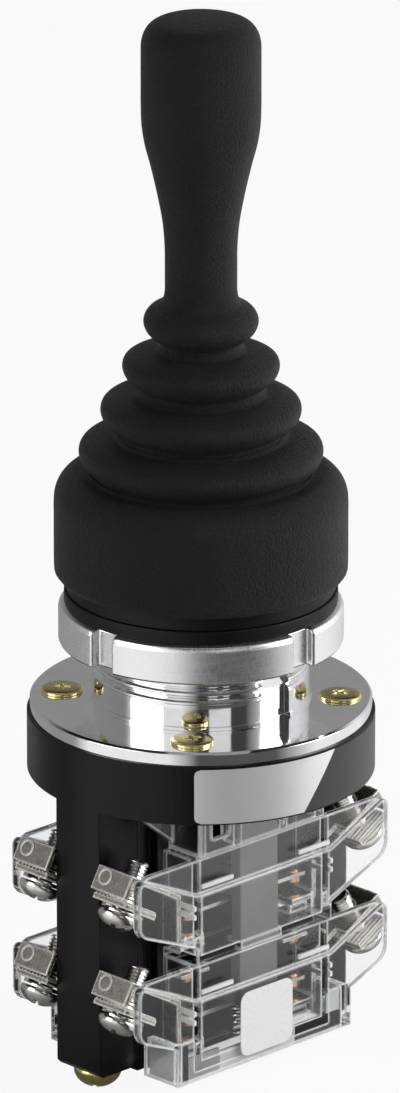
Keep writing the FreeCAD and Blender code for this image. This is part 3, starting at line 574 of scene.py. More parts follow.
def fold_above(ridge, groove_above_r):
    """Points over one ridge, from its underside up its slope to the groove above."""
    r, z = ridge
    slope = r - groove_above_r
    return [
        (r - 1.25, z - 2.2),
        (r - 0.38, z - 1.3),
        (r, z - 0.1),
        (r - 0.32, z + 0.95),
        (r - 0.25 * slope, z + 1.55),
        (r - 0.5 * slope, z + 1.85),
        (groove_above_r + NECK_RING + 0.1, z + 2.0),
        (groove_above_r + NECK_RING, z + 2.3),
        (groove_above_r + 0.35 * NECK_RING, z + 2.6),
    ]


def groove(ridge):
    """The deep groove under a ridge: two points, the wall goes nearly upright there."""
    r, z = ridge
    return [(r - GROOVE_R_IN, z - 3.35), (r - 2.3, z - 2.75)]


cup_outline = [
    (CUP_R - 1.7, CUP_FOOT),
    (CUP_R - 1.2, CUP_FOOT + 0.02),
    (CUP_R - 0.6, CUP_FOOT + 0.22),
    (CUP_R - 0.16, CUP_FOOT + 0.8),
    (CUP_R, CUP_FOOT + 1.7),
    (CUP_R, CUP_FOOT + 8.5),
    (CUP_R, CUP_SHOULDER - 4.4),
    (CUP_R - 0.12, CUP_SHOULDER - 3.0),
    (CUP_R - 0.6, CUP_SHOULDER - 1.75),
    (CUP_R - 1.5, CUP_SHOULDER - 0.75),
    (CUP_R - 2.8, CUP_SHOULDER - 0.15),
    (CUP_R - 4.3, CUP_SHOULDER - 0.2),
    (CUP_R - 5.1, CUP_SHOULDER),
    (CUP_R - 5.3, CUP_SHOULDER + 0.35),
    (CUP_R - 5.7, CUP_SHOULDER + 0.6),
]
lower_outline = cup_outline + groove(RIDGES[0]) + fold_above(RIDGES[0], RIDGES[1][0] - GROOVE_R_IN)
upper_outline = []
for ridge, above in zip(RIDGES[1:], RIDGES[2:]):
    upper_outline += groove(ridge) + fold_above(ridge, above[0] - GROOVE_R_IN)
seam = upper_outline.pop(0)
lower_outline.append(seam)
top_r, top_z = RIDGES[-1]
upper_outline = [seam] + upper_outline + groove(RIDGES[-1]) + fold_above(RIDGES[-1], 0)[:3] + [
    (top_r - 0.28, top_z + 0.95),
    (top_r - 0.95, top_z + 1.75),
    (top_r - 1.75, top_z + 2.2),
    (WAIST_R + 0.5, BOOT_TOP + 0.0),
    (WAIST_R + 0.16, BOOT_TOP + 0.7),
    (WAIST_R + 0.03, BOOT_TOP + 1.5),
]


def walled(points, steps=6):
    """A closed outline: the smooth outside, and the inside a wall's thickness within."""
    outside = curve_through(points, steps)
    ahead = np.gradient(np.array(outside), axis=0)
    ahead /= np.linalg.norm(ahead, axis=1)[:, None]
    inside = np.array(outside) + RUBBER_T * np.stack([-ahead[:, 1], ahead[:, 0]], axis=1)
    inside[:, 0] = np.maximum(inside[:, 0], WAIST_R - 0.3)
    return outside + list(inside[::-1])


BOOT_STEPS = 192
boot_lower, boot_upper = (
    new_piece(name, mesh_of(lathe(walled(outline), BOOT_STEPS), name), "boot_rubber", "base")
    for name, outline in (("boot_cup", lower_outline), ("boot_folds", upper_outline)))
print("boot points:", len(boot_lower.data.vertices), len(boot_upper.data.vertices))


# %% [markdown]
# ## The boot in place
# Both pieces are taken off the base body, and each keeps its place in its own mesh. The
# CAD boot is hidden.

# %% Set the boot in place
for piece in (boot_lower, boot_upper):
    piece.parent = None
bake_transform(boot_lower)
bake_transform(boot_upper)
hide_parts("rubber_boot")
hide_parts("rubber_boot")


# %% [markdown]
# ## Grip
# A solid moulding on the steel rod. Its end is nearly flat with a wide rounded edge, then
# a straight barrel, then an S-curve down to the waist. The taper is one smooth curve, so
# the highlight runs down it without a break.

# %% Grip
grip_low, grip_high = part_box("grip")
GRIP_R, GRIP_TOP, GRIP_FOOT = (v / MM for v in (grip_high.x, grip_high.z, grip_low.z))
CROWN = GRIP_TOP - 0.75
GRIP_STEPS = 144
grip_side = curve_through([
    (WAIST_R, GRIP_FOOT), (WAIST_R, 58.0), (WAIST_R, 62.0), (WAIST_R + 0.03, 65.0), (WAIST_R + 0.32, 68.5),
    (WAIST_R + 1.05, 72.5), (GRIP_R - 1.3, 76.5), (GRIP_R - 0.5, 79.6), (GRIP_R - 0.1, 82.3),
    (GRIP_R, 85.0), (GRIP_R, 88.5), (GRIP_R, 91.5),
])
grip_edge = curve_through([
    (GRIP_R, 92.3), (GRIP_R - 0.05, 93.9), (GRIP_R - 0.42, 95.2), (GRIP_R - 1.15, 96.2), (GRIP_R - 2.2, 96.8),
    (GRIP_R - 3.6, 97.05), (2.5, CROWN - 0.05), (0.8, CROWN),
])
grip_outline = [(0, GRIP_FOOT)] + grip_side + grip_edge + [(0, CROWN)]
new_piece("grip_handle", mesh_of(lathe(grip_outline, GRIP_STEPS), "grip_handle"), "grip_black", "lever",
          node="grip")
print("grip", round(GRIP_R, 2), "mm radius, top at", round(GRIP_TOP, 2))


# %% [markdown]
# ## Seal, nut, neck and frame
# The seal is a squared rubber ring with soft corners. The nut, the chromed neck, the
# black disc with its legs and the screws are machined or moulded to simple shapes, so
# bevelled copies of their CAD solids carry the look. The neck's steps are only 0.05 mm high,
# so its bevel is far smaller than the others.

# %% Seal ring
seal_low, seal_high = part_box("seal_gasket")
SEAL_R, SEAL_FOOT, SEAL_TOP = (v / MM for v in (seal_high.x, seal_low.z, seal_high.z))
SEAL_BORE = 15.2
seal_outline = rounded([
    (SEAL_BORE, SEAL_FOOT), (SEAL_R, SEAL_FOOT), (SEAL_R, SEAL_TOP), (SEAL_BORE, SEAL_TOP),
], 0.25)
new_piece("seal_ring", mesh_of(lathe(seal_outline), "seal_ring"), "seal_rubber", "base", node="seal_gasket")

# %% Machined and moulded pieces
SOFTNESS = {
    "boot_collar": 0.12,
    "ring_nut": 0.36,
    "neck_flange": 0.03,
    "frame_body": 0.3,
    "contact_core": 0.15,
    "core_cover": 0.12,
    "pushrod_front": 0.15,
    "pushrod_rear": 0.15,
    "adapter_guides": 0.16,
}
for node_name, width in SOFTNESS.items():
    dressed(node_name, width)
print("softened:", len(SOFTNESS))


# %% [markdown]
# ## Clear housings
# Each contact level has a clear box with wings that guard the terminals. Their moulded
# edges are round, and every edge draws a bright line, so the bevel here has more steps.

# %% Housings
UNITS = [f"{side}_{level}" for side in ("front", "rear") for level in ("upper", "lower")]
WING_CORNER = 1.5
HOUSING_SOFT = 0.24


def round_wing_corners(mesh):
    """Rounds the two outer corners of each wing: its short edges along Y at the far ends."""
    bm = bmesh.new()
    bm.from_mesh(mesh)
    reach = max(v.co.x for v in bm.verts)
    outer = []
    for edge in bm.edges:
        a, b = (v.co for v in edge.verts)
        at_end = min(abs(a.x), abs(b.x)) > reach - 0.05 * MM
        if at_end and abs(a.y - b.y) > 0.9 * edge.calc_length():
            outer.append(edge)
    bmesh.ops.bevel(bm, geom=outer, offset=WING_CORNER * MM, segments=6, profile=0.5, affect="EDGES")
    bm.to_mesh(mesh)
    bm.free()


for unit in UNITS:
    dressed("housing_" + unit, HOUSING_SOFT, segments=3, shape=round_wing_corners)
print("housings:", len(UNITS))


# %% [markdown]
# ## Terminals
# A terminal is a bent nickel strip, a toothed pressure plate, a split spring washer and a
# domed screw that comes up from below. The record's mounts give each screw's place and
# direction, so one set of meshes is built upright and copied to all eight places.

# %% Terminal places
def terminal_matrix(mount):
    """Local axes at a terminal: x outward along the plate, z against the screw head."""
    up = -Vector(mount["axis"]).normalized()
    side = Vector((0, 1, 0))
    out = side.cross(up).normalized()
    if out.x * mount["pos_m"][0] < 0:
        out = -out
        side = -side
    matrix = Matrix((out, side, up)).transposed().to_4x4()
    matrix.translation = Vector(mount["pos_m"])
    return matrix


terminal_mounts = [m for m in frame["record"]["mounts"] if m["name"].startswith("terminal_")]
terminal_places = [terminal_matrix(m) for m in terminal_mounts]
print("terminals:", len(terminal_places))


def place_copies(name, mesh, places, material, node):
    """One piece from a copy of the mesh at each place, standing for a CAD node."""
    copies = joined([moved(mesh, place) for place in places], name)
    new_piece(name, copies, material, "base", node)


# %% Domed terminal screw
SCREW_R = 1.5
HEAD_R = 3.0
HEAD_H = 2.2
TIP_UP = 2.4
PLATE_DOWN = 3.8
PLATE_T = 0.8
WASHER_T = 0.8
THREAD_STEP = 0.5
THREAD_DEEP = 0.22
THREAD_END = 0.4
THREAD_FROM = 0.4
SHANK_CHAMFER = 0.3
SCREW_STEPS = 56
SCREW_SOFT = 0.05
DRIVER_TURN = 0.6
RECESS_SHARES = (0.45, 0.75)
TERMINAL_RECESS = (0.75, 7.0, 1.3)
DOMED = [(0.967, 0), (1.0, 0.14), (0.983, 0.34), (0.85, 0.61), (0.6, 0.84), (0.3, 0.98), (0.1, 1.0)]
FLAT_PAN = [(0.98, 0), (1.0, 0.12), (0.995, 0.5), (0.95, 0.68), (0.75, 0.86), (0.4, 0.97), (0.1, 1.0)]


def head_outline(head_r, head_h, profile):
    """The side of a head that hangs below z = 0. A profile point is a share of the radius and the height."""
    return curve_through([(r * head_r, -h * head_h) for r, h in profile], 5)


def cross_cutter(z, recess):
    """Two crossed wedges that cut a driver recess, (width, span, depth), into a crown at z."""
    width, span, depth = recess
    bm = bmesh.new()
    for angle in (DRIVER_TURN, DRIVER_TURN + math.pi / 2):
        made = bmesh.ops.create_cube(bm, size=1.0)["verts"]
        for v in made:
            deep = v.co.z > 0
            v.co.x *= span * (RECESS_SHARES[0] if deep else 1.0) * MM
            v.co.y *= width * (RECESS_SHARES[1] if deep else 1.0) * MM
            v.co.z = (z + (depth if deep else -1.0)) * MM
        bmesh.ops.rotate(bm, verts=made, cent=(0, 0, 0), matrix=Matrix.Rotation(angle, 3, "Z"))
    return linked("cutter", mesh_of(bm, "cutter"))


def screw_mesh(head_r, head_h, shank_r, shank_up, recess, thread_from=None, profile=DOMED):
    """A screw whose head hangs below z = 0 and whose shank stands up from it."""
    side = []
    if thread_from is not None:
        z = shank_up - THREAD_END
        while z > thread_from:
            side += [(shank_r, z), (shank_r - THREAD_DEEP, z - THREAD_STEP / 2)]
            z -= THREAD_STEP
    outline = [(0, -head_h)] + head_outline(head_r, head_h, profile)[::-1] + [(shank_r, 0)]
    outline += side[::-1] + [(shank_r, shank_up - SHANK_CHAMFER), (shank_r - SHANK_CHAMFER, shank_up)]
    outline.append((0, shank_up))
    cutter = cross_cutter(-head_h, recess)
    mesh = softened(mesh_of(lathe(outline, SCREW_STEPS), "screw"), SCREW_SOFT, 1, cut=cutter)
    bpy.data.objects.remove(cutter)
    return mesh


seat = -PLATE_DOWN - PLATE_T - WASHER_T
terminal_screw = screw_mesh(HEAD_R, HEAD_H, SCREW_R, TIP_UP - seat, TERMINAL_RECESS, THREAD_FROM)
terminal_screw.transform(Matrix.Translation((0, 0, seat * MM)))
place_copies("terminal_screw_set", terminal_screw, terminal_places, "bright_nickel", "terminal_screws")
print("screw faces:", len(terminal_screw.polygons))


# %% [markdown]
# ## Yellow screws
# Four pan-head screws hold the flange to the frame and one larger screw closes the foot of
# each leg. They are the same lathe profile as the terminal screws with other numbers, and
# their places come from the boxes of the CAD nodes.

# %% Flange and leg screws
FLANGE_HEAD_R, FLANGE_HEAD_H = 2.95, 0.62
FLANGE_TURN = math.radians(42)
LEG_HEAD_R, LEG_HEAD_H = 3.3, 3.0
FLANGE_RECESS = (0.75, 3.2, 1.0)
LEG_RECESS = (1.0, 8.0, 1.7)
FLANGE_SCREW_STEP, LEG_SCREW_TURN = 0.5, 0.1

circle_r = (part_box("flange_screws")[1].x - FLANGE_HEAD_R * MM) / math.cos(FLANGE_TURN)
head_up = Matrix.Rotation(math.pi, 4, "X")
flange_places = []
for quarter in range(4):
    turn = Matrix.Rotation(FLANGE_TURN + math.pi / 2 * quarter, 4, "Z")
    at = turn @ Matrix.Translation((circle_r, 0, 0))
    flange_places.append(at @ Matrix.Rotation(FLANGE_SCREW_STEP * quarter, 4, "Z") @ head_up)
flange_screw = screw_mesh(FLANGE_HEAD_R, FLANGE_HEAD_H, 1.4, 1.5, FLANGE_RECESS, profile=FLAT_PAN)
place_copies("pan_screws_flange", flange_screw, flange_places, "yellow_zinc", "flange_screws")
leg_low, leg_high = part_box("leg_screws")
leg_x = leg_high.x - LEG_HEAD_R * MM
leg_seat = leg_low.z + LEG_HEAD_H * MM
leg_places = [Matrix.Translation((s * leg_x, 0, leg_seat)) @ Matrix.Rotation(LEG_SCREW_TURN * s, 4, "Z")
              for s in (-1, 1)]
leg_screw = screw_mesh(LEG_HEAD_R, LEG_HEAD_H, 1.9, 3.0, LEG_RECESS)
place_copies("pan_screws_leg", leg_screw, leg_places, "yellow_zinc", "leg_screws")
print("yellow screws:", len(flange_places) + len(leg_places))


# %% Toothed clamp plate
CLAMP_L = 6.2
CLAMP_W = 6.0
TEETH = 9
TOOTH_H = 0.34
CLAMP_SOFT = 0.06


def clamp_plate_mesh():
    """A square plate with a row of pressed teeth across its top and shallow notches under it."""
    top, bottom = -PLATE_DOWN, -PLATE_DOWN - PLATE_T
    outline = [(-CLAMP_L / 2, bottom), (-CLAMP_L / 2, top)]
    pitch = CLAMP_L / TEETH
    for i in range(TEETH):
        x = -CLAMP_L / 2 + i * pitch
        outline += [(x + 0.2 * pitch, top), (x + 0.5 * pitch, top + TOOTH_H), (x + 0.8 * pitch, top)]
    outline += [(CLAMP_L / 2, top), (CLAMP_L / 2, bottom)]
    for i in range(TEETH):
        x = CLAMP_L / 2 - i * pitch
        outline += [(x - 0.35 * pitch, bottom), (x - 0.5 * pitch, bottom + 0.16), (x - 0.65 * pitch, bottom)]
    half = CLAMP_W / 2 * MM
    return softened(prism(outline, -half, half, "clamp_plate"), CLAMP_SOFT, 1)


clamp_mesh = clamp_plate_mesh()
clamp_mesh.transform(Matrix.Rotation(math.pi / 2, 4, "Z"))
place_copies("toothed_clamp_plates", clamp_mesh, terminal_places, "nickel", "clamp_plates")
print("teeth on each clamp plate:", TEETH)


# %% Split spring washer
WASHER_R = 2.9
WASHER_BORE = 1.65
SPLIT = math.radians(16)
SPRUNG = 0.28


def split_washer_mesh(steps=56):
    """A squared wire bent once round, its two ends sprung apart."""
    bm = bmesh.new()
    low = -PLATE_DOWN - PLATE_T - WASHER_T
    thick = WASHER_T - SPRUNG
    rings = []
    for i in range(steps + 1):
        share = i / steps
        angle = SPLIT / 2 + share * (2 * math.pi - SPLIT)
        z = low + SPRUNG * share
        corners = [(WASHER_BORE, z), (WASHER_R, z), (WASHER_R, z + thick), (WASHER_BORE, z + thick)]
        ring = rounded(corners, 0.14, 2)
        rings.append([bm.verts.new((r * MM * math.cos(angle), r * MM * math.sin(angle), h * MM))
                      for r, h in ring])
    skin(bm, rings)
    return mesh_of(bm, "split_washer")


place_copies("split_spring_washers", split_washer_mesh(), terminal_places, "bright_nickel", "spring_washers")
print("terminal hardware placed")


# %% [markdown]
# ## Terminal strips
# The strip's outer lip carries a round pressed boss near the leg. Its rim is what shows:
# a thin ring that catches a bright crescent, round a middle as dull as the lip.

# %% Terminal strips
BOSS_R = 1.05
BOSS_RIM = 0.2
LIP_X = 3.9
BOSS_HIGH = 0.13
BOSS_BESIDE = 1.4
BOSS_BELOW = 1.35
STRIP_SOFT = 0.15


def boss_mesh(place):
    """A raised ring on the lip's outer face, on the side towards the leg."""
    towards = -math.copysign(1.0, place.translation.x) * math.copysign(1.0, place.col[1].y)
    rim = [(BOSS_R + s * BOSS_RIM, h * BOSS_HIGH) for s, h in ((-1, -1), (1, -1), (1, 1), (-1, 1))]
    ring = mesh_of(lathe(rounded(rim, 0.15), 40), "ring")
    ring.transform(place @ Matrix.Translation((LIP_X * MM, towards * BOSS_BESIDE * MM, -BOSS_BELOW * MM))
                   @ Matrix.Rotation(math.pi / 2, 4, "Y"))
    return ring


for mount in terminal_mounts:
    dressed(mount["name"].replace("terminal_", "terminal_strip_"), STRIP_SOFT, segments=3)
new_piece("strip_bosses", joined([boss_mesh(m) for m in terminal_places], "strip_bosses"), "nickel", "base")
print("strips done")


# %% [markdown]
# ## Contacts and return springs
# Through the clear walls copper rivets show on the bridges, and a coil spring stands under
# each bridge. The CAD spring is a plain sleeve, so a real helix takes its place, wound
# between the sleeve's ends. It rides on no body.

# %% Helical return springs
SPRING_TURNS = 5.5
WIRE_R = 0.2
BRIDGE_SOFT = 0.08
PLUNGER_OF = {"front_lower": "front", "rear_lower": "rear", "front_upper": "left", "rear_upper": "right"}


def helix_mesh(centre, r, z0, z1, turns, wire_r, sides=8, per_turn=28):
    """A round wire wound up from z0 to z1, its end turns laid flat."""
    bm = bmesh.new()
    count = int(turns * per_turn)
    rings = []
    for i in range(count + 1):
        t = i / count
        flat = 1.0 / turns
        rise = min(max((t - 0.5 * flat) / (1 - flat), 0.0), 1.0)
        angle = 2 * math.pi * turns * t
        z = z0 + wire_r + (z1 - z0 - 2 * wire_r) * rise
        ring = []
        for k in range(sides):
            b = 2 * math.pi * k / sides
            reach = r - wire_r + wire_r * math.cos(b)
            ring.append(bm.verts.new((centre.x + reach * math.cos(angle), centre.y + reach * math.sin(angle),
                                      z + wire_r * math.sin(b))))
        rings.append(ring)
    skin(bm, rings)
    return mesh_of(bm, "helix")


for unit, rod in PLUNGER_OF.items():
    low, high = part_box("return_spring_" + unit)
    middle = (low + high) / 2
    radius = (high.x - low.x) / 2
    mesh = helix_mesh(middle, radius, low.z, high.z, SPRING_TURNS, WIRE_R * MM)
    spring = new_piece("coil_spring_" + unit, mesh, "spring_steel", "base")
    spring.parent = None
    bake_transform(spring)
    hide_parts("return_spring_" + unit)
    dressed("bridge_" + unit, BRIDGE_SOFT, 1)
print("springs wound")


# %% Contact rivets
RIVET_R = 0.95
RIVET_DOME = 0.55


def rivet_mesh(x, y, z, r, rise):
    """A domed rivet head on top of the bridge."""
    dome = [(r, 0), (r, 0.12 * rise)] + [(r * math.cos(a), rise * (0.12 + 0.88 * math.sin(a)))
                                       for a in np.linspace(0.15, math.pi / 2 - 0.02, 7)]
    outline = [(0, 0)] + dome + [(0, rise)]
    mesh = mesh_of(lathe(outline, 32), "rivet")
    mesh.transform(Matrix.Translation((x, y, z)))
    return mesh


for unit, rod in PLUNGER_OF.items():
    low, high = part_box("bridge_" + unit)
    contact_low, contact_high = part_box("moving_contacts_" + unit)
    x = contact_high.x - (contact_high.y - contact_low.y) / 2
    y = (contact_low.y + contact_high.y) / 2
    rivets = joined([rivet_mesh(s * x, y, high.z, RIVET_R, RIVET_DOME) for s in (-1, 1)], "rivets")
    new_piece("contact_rivets_" + unit, rivets, "copper", "plunger_" + rod)
print("rivets placed")


# %% [markdown]
# ## Break contacts and catches
# The photo shows more copper near the top of the lower housings: the pair that is closed
# at rest. Each is a short nickel strip with a rivet through it. Two short ledges stand
# out of each front wall, and the next housing catches on them. They are opaque white, a
# painted highlight for the light that gathers in them.
# %% Break contacts
BREAK_DROP = 2.5
BREAK_STRIP = (7.2, 12.0)
BREAK_W = 2.6
BREAK_T = 0.5
BREAK_RIVET_X = BREAK_STRIP[0] + 2.8
RIVET_OVER = (0.85, 0.5)
RIVET_UNDER = (1.1, 1.3)


def bar_mesh(x0, x1, y0, y1, z0, z1, soft=0.06):
    bm = bmesh.new()
    for v in bmesh.ops.create_cube(bm, size=1.0)["verts"]:
        v.co = Vector((x1 if v.co.x > 0 else x0, y1 if v.co.y > 0 else y0, z1 if v.co.z > 0 else z0))
    return softened(mesh_of(bm, "bar"), soft, 2)


def bar_pair(xs, ys, zs, soft=0.06):
    """Two bars, left and right. xs is in mm out from the middle, ys and zs are in metres."""
    return [bar_mesh(*sorted(s * x * MM for x in xs), *ys, *zs, soft) for s in (-1, 1)]


for side in ("front", "rear"):
    bridge_low, bridge_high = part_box(f"bridge_{side}_lower")
    y = (bridge_low.y + bridge_high.y) / 2
    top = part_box(f"housing_{side}_lower")[1].z - BREAK_DROP * MM
    half = BREAK_W / 2 * MM
    strips = bar_pair(BREAK_STRIP, (y - half, y + half), (top - BREAK_T * MM, top))
    rivets = []
    for s in (-1, 1):
        x = s * BREAK_RIVET_X * MM
        under = rivet_mesh(0, 0, 0, *RIVET_UNDER)
        under.transform(Matrix.Translation((x, y, top - BREAK_T * MM)) @ Matrix.Rotation(math.pi, 4, "X"))
        rivets += [rivet_mesh(x, y, top, *RIVET_OVER), under]
    new_piece(f"break_strips_{side}", joined(strips, "break_strips"), "nickel", "base")
    new_piece(f"break_rivets_{side}", joined(rivets, "break_rivets"), "copper", "base")
print("break contacts placed")


# %% Catches on the front walls
CATCH_X = (6.3, 12.4)
CATCH_DROP = 3.8
CATCH_HIGH = 0.7
CATCH_OUT = 0.25
CATCH_IN = 0.2
CATCH_SOFT = 0.15

for unit in UNITS:
    low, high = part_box("housing_" + unit)
    wall_y = low.y if unit.startswith("front") else high.y
    out = math.copysign(MM, wall_y)
    ys = sorted((wall_y - CATCH_IN * out, wall_y + CATCH_OUT * out))
    z = high.z - CATCH_DROP * MM
    bars = bar_pair(CATCH_X, ys, (z - CATCH_HIGH / 2 * MM, z + CATCH_HIGH / 2 * MM), CATCH_SOFT)
    # painted highlight: the catches are opaque white, for the light that gathers in them
    new_piece("catches_" + unit, joined(bars, "catches"), "frosted_edge", "base")
print("catches:", len(UNITS))


# %% [markdown]
# ## Ledges and foot liners
# On the real switch the side wall carries two ledges that the terminal strip rests on,
# and the foot of the lowest housing is lined: a grey panel at the side, a dark post in
# the corner, a pale rail in front and a black stop at its end. They close the foot.

# %% Ledges beside the terminals
HOUSING_HALF_X = 13.0
LEDGE_DROPS = (6.6, 7.9)
LEDGE_T = 0.75
LEDGE_OUT = 0.5
LEDGE_Y = (6.3, 12.2)
LEDGE_SOFT = 0.1

for unit in UNITS:
    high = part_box("housing_" + unit)[1]
    towards = -1 if unit.startswith("front") else 1
    ys = sorted(towards * v * MM for v in LEDGE_Y)
    bars = []
    for drop in LEDGE_DROPS:
        z = high.z - drop * MM
        bars += bar_pair((HOUSING_HALF_X, HOUSING_HALF_X + LEDGE_OUT), ys, (z - LEDGE_T * MM, z), LEDGE_SOFT)
    # painted highlight: the ledges are opaque white, for the light along their clear edges
    new_piece("ledges_" + unit, joined(bars, "ledges"), "frosted_edge", "base")
print("ledges:", len(UNITS))


# %% Foot liners
LINERS = {
    "post": ("frame_black", (-15.5, -14.2), (11.45, 10.9), (0.0, 5.6)),
    "panel": ("liner_grey", (-14.2, -8.2), (11.45, 10.9), (0.0, 3.4)),
    "rail": ("liner_pale", (-8.2, 6.5), (11.45, 10.9), (0.0, 2.8)),
    "stop": ("frame_black", (6.5, 15.5), (11.45, 10.9), (0.0, 2.5)),
    "side": ("liner_grey", (-15.6, -15.1), (11.45, 6.3), (0.0, 5.6)),
    "far_side": ("liner_grey", (15.1, 15.6), (11.45, 6.3), (0.0, 5.6)),
    "end": ("liner_pale", (12.6, 15.4), (11.45, 10.9), (2.6, 5.6)),
}
LINER_SOFT = 0.08

foot_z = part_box("housing_front_lower")[0].z
for side, turned in (("front", -1), ("rear", 1)):
    for name, (material, (x0, x1), (far_y, near_y), (z0, z1)) in LINERS.items():
        xs = sorted((-turned * x0 * MM, -turned * x1 * MM))
        ys = sorted((turned * far_y * MM, turned * near_y * MM))
        mesh = bar_mesh(*xs, *ys, foot_z + z0 * MM, foot_z + z1 * MM, LINER_SOFT)
        new_piece(f"liner_{name}_{side}", mesh, material, "base")
print("liners:", 2 * len(LINERS))


# %% [markdown]
# ## Labels
# The disc carries a foil label whose print is left off: a silver part with rounded left
# corners and a slanted right edge, and a dark part beyond it. A foil is a thin curved
# sheet on the disc, so it is built as a strip of small quads between two edge lines.

# %% Disc label
disc_low, disc_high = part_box("frame_body")
DISC_R = (disc_high.y - disc_low.y) / 2 / MM
DISC_TOP = disc_high.z / MM
LABEL_T = 0.04
LABEL_HIGH = DISC_TOP - 0.35
LABEL_LOW = -10.15
CAMERA_AZIMUTH = -44.4
VIEW_AZIMUTH = math.radians(CAMERA_AZIMUTH)
SILVER_FROM = math.radians(-2.2)
SLANT_TOP = math.radians(49.4)
SLANT_LOW = math.radians(35.8)
DARK_TO = math.radians(82.0)
CORNER = 0.9
LABEL_GAP = 0.0005


def label_mesh(left, right, name, columns=60, rows=10):
    """left and right give an edge's angle from the view direction at a height share, 0 low to 1 high."""
    bm = bmesh.new()
    sheets = []
    for r in (DISC_R, DISC_R + LABEL_T):
        grid = []
        for j in range(rows + 1):
            v = j / rows
            z = LABEL_LOW + (LABEL_HIGH - LABEL_LOW) * v
            a0, a1 = left(v), right(v)
            turns = [VIEW_AZIMUTH + a0 + (a1 - a0) * i / columns for i in range(columns + 1)]
            grid.append([bm.verts.new((r * MM * math.sin(a), -r * MM * math.cos(a), z * MM)) for a in turns])
        sheets.append(grid)
    inner, outer = sheets
    for j in range(rows):
        for i in range(columns):
            bm.faces.new([outer[j][i], outer[j][i + 1], outer[j + 1][i + 1], outer[j + 1][i]])
            bm.faces.new([inner[j][i], inner[j + 1][i], inner[j + 1][i + 1], inner[j][i + 1]])
    rim = [(0, i) for i in range(columns)] + [(j, columns) for j in range(rows)]
    rim += [(rows, i) for i in range(columns, 0, -1)] + [(j, 0) for j in range(rows, 0, -1)]
    for a, b in zip(rim, rim[1:] + rim[:1]):
        bm.faces.new([inner[a[0]][a[1]], inner[b[0]][b[1]], outer[b[0]][b[1]], outer[a[0]][a[1]]])
    return mesh_of(bm, name)


def cornered(v):
    """The left edge pulled in at its two ends for a round corner."""
    height = LABEL_HIGH - LABEL_LOW
    near = min(v, 1 - v) * height
    pull = CORNER - math.sqrt(max(CORNER**2 - max(CORNER - near, 0) ** 2, 0))
    return SILVER_FROM + pull / DISC_R


def slant(v):
    return SLANT_LOW + (SLANT_TOP - SLANT_LOW) * v


silver_mesh = label_mesh(cornered, slant, "label_silver", rows=28)
dark_mesh = label_mesh(lambda v: slant(v) + LABEL_GAP, lambda v: DARK_TO, "label_dark")
new_piece("label_silver", silver_mesh, "label_silver", "base")
new_piece("label_dark", dark_mesh, "label_dark", "base")
print("label from", round(LABEL_LOW, 2), "to", round(LABEL_HIGH, 2), "mm")


# %% Blank sticker on the lower housing
STICKER_X = (-4.8, 5.3)
STICKER_Z = (-49.3, -39.8)
STICKER_T = 0.12
STICKER_CORNER = 1.5
STICKER_LIFT = 0.005
STICKER_SOFT = 0.03


def sticker_mesh():
    """A thin sheet with round corners, lying on the housing's front face."""
    x0, x1 = STICKER_X
    z0, z1 = STICKER_Z
    outline = []
    for cx, cz, start in ((x1, z1, 0), (x0, z1, 90), (x0, z0, 180), (x1, z0, 270)):
        mx = cx - math.copysign(STICKER_CORNER, cx)
        mz = cz - STICKER_CORNER if cz == z1 else cz + STICKER_CORNER
        for step in range(7):
            a = math.radians(start + 15 * step)
            outline.append((mx + STICKER_CORNER * math.cos(a), mz + STICKER_CORNER * math.sin(a)))
    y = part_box("housing_front_lower")[0].y
    return softened(prism(outline, y - STICKER_LIFT * MM, y - STICKER_T * MM, "sticker"), STICKER_SOFT, 1)


paper_white("paper_white", (sum(STICKER_X) / 2 * MM, 0, sum(STICKER_Z) / 2 * MM))
new_piece("blank_sticker", sticker_mesh(), "paper_white", "base")
print("labels on")


# %% [markdown]
# ## Studio
# The photo is a cut-out on white. A pale floor under the part, a white world for what the
# camera and the clear walls see, and a few wide soft lamps give the same look. Metal
# needs something dark to reflect as well. White cards stand left and right of the camera,
# a dark gap is between them, and the studio above them is dark. Only gloss sees them.

# %% Cards round the part
CARDS = [(-180, 0.3), (-88, 0.3), (-76, 1.0), (-20, 1.0), (-2, 0.06), (48, 0.06), (78, 1.0), (125, 1.0),
         (180, 0.3)]


def cards(tree, place):
    """The level of the card that stands in each direction, in degrees from the camera's own."""
    parts = split_xyz(tree, place)
    angle = maths(tree, "ARCTAN2", parts["X"], maths(tree, "MULTIPLY", parts["Y"], -1.0))
    wrapped = maths(tree, "WRAP", maths(tree, "SUBTRACT", angle, VIEW_AZIMUTH), math.pi, -math.pi)
    around = spread(tree, wrapped, 0.0, 1.0, -math.pi, math.pi)
    ramp = add_node(tree, "ShaderNodeValToRGB", {"Fac": around})
    stops = ramp.color_ramp.elements
    for stop, (_, level) in ((stops[0], CARDS[0]), (stops[1], CARDS[-1])):
        stop.color = (level, level, level, 1)
    for degrees, level in CARDS[1:-1]:
        stops.new(degrees / 360 + 0.5).color = (level, level, level, 1)
    return ramp.outputs["Color"]


def straight_ray(tree):
    """The light path, and 1 where the camera sees a surface directly or through clear walls."""
    path = add_node(tree, "ShaderNodeLightPath").outputs
    return path, maths(tree, "MAXIMUM", path["Is Camera Ray"], path["Is Transmission Ray"])


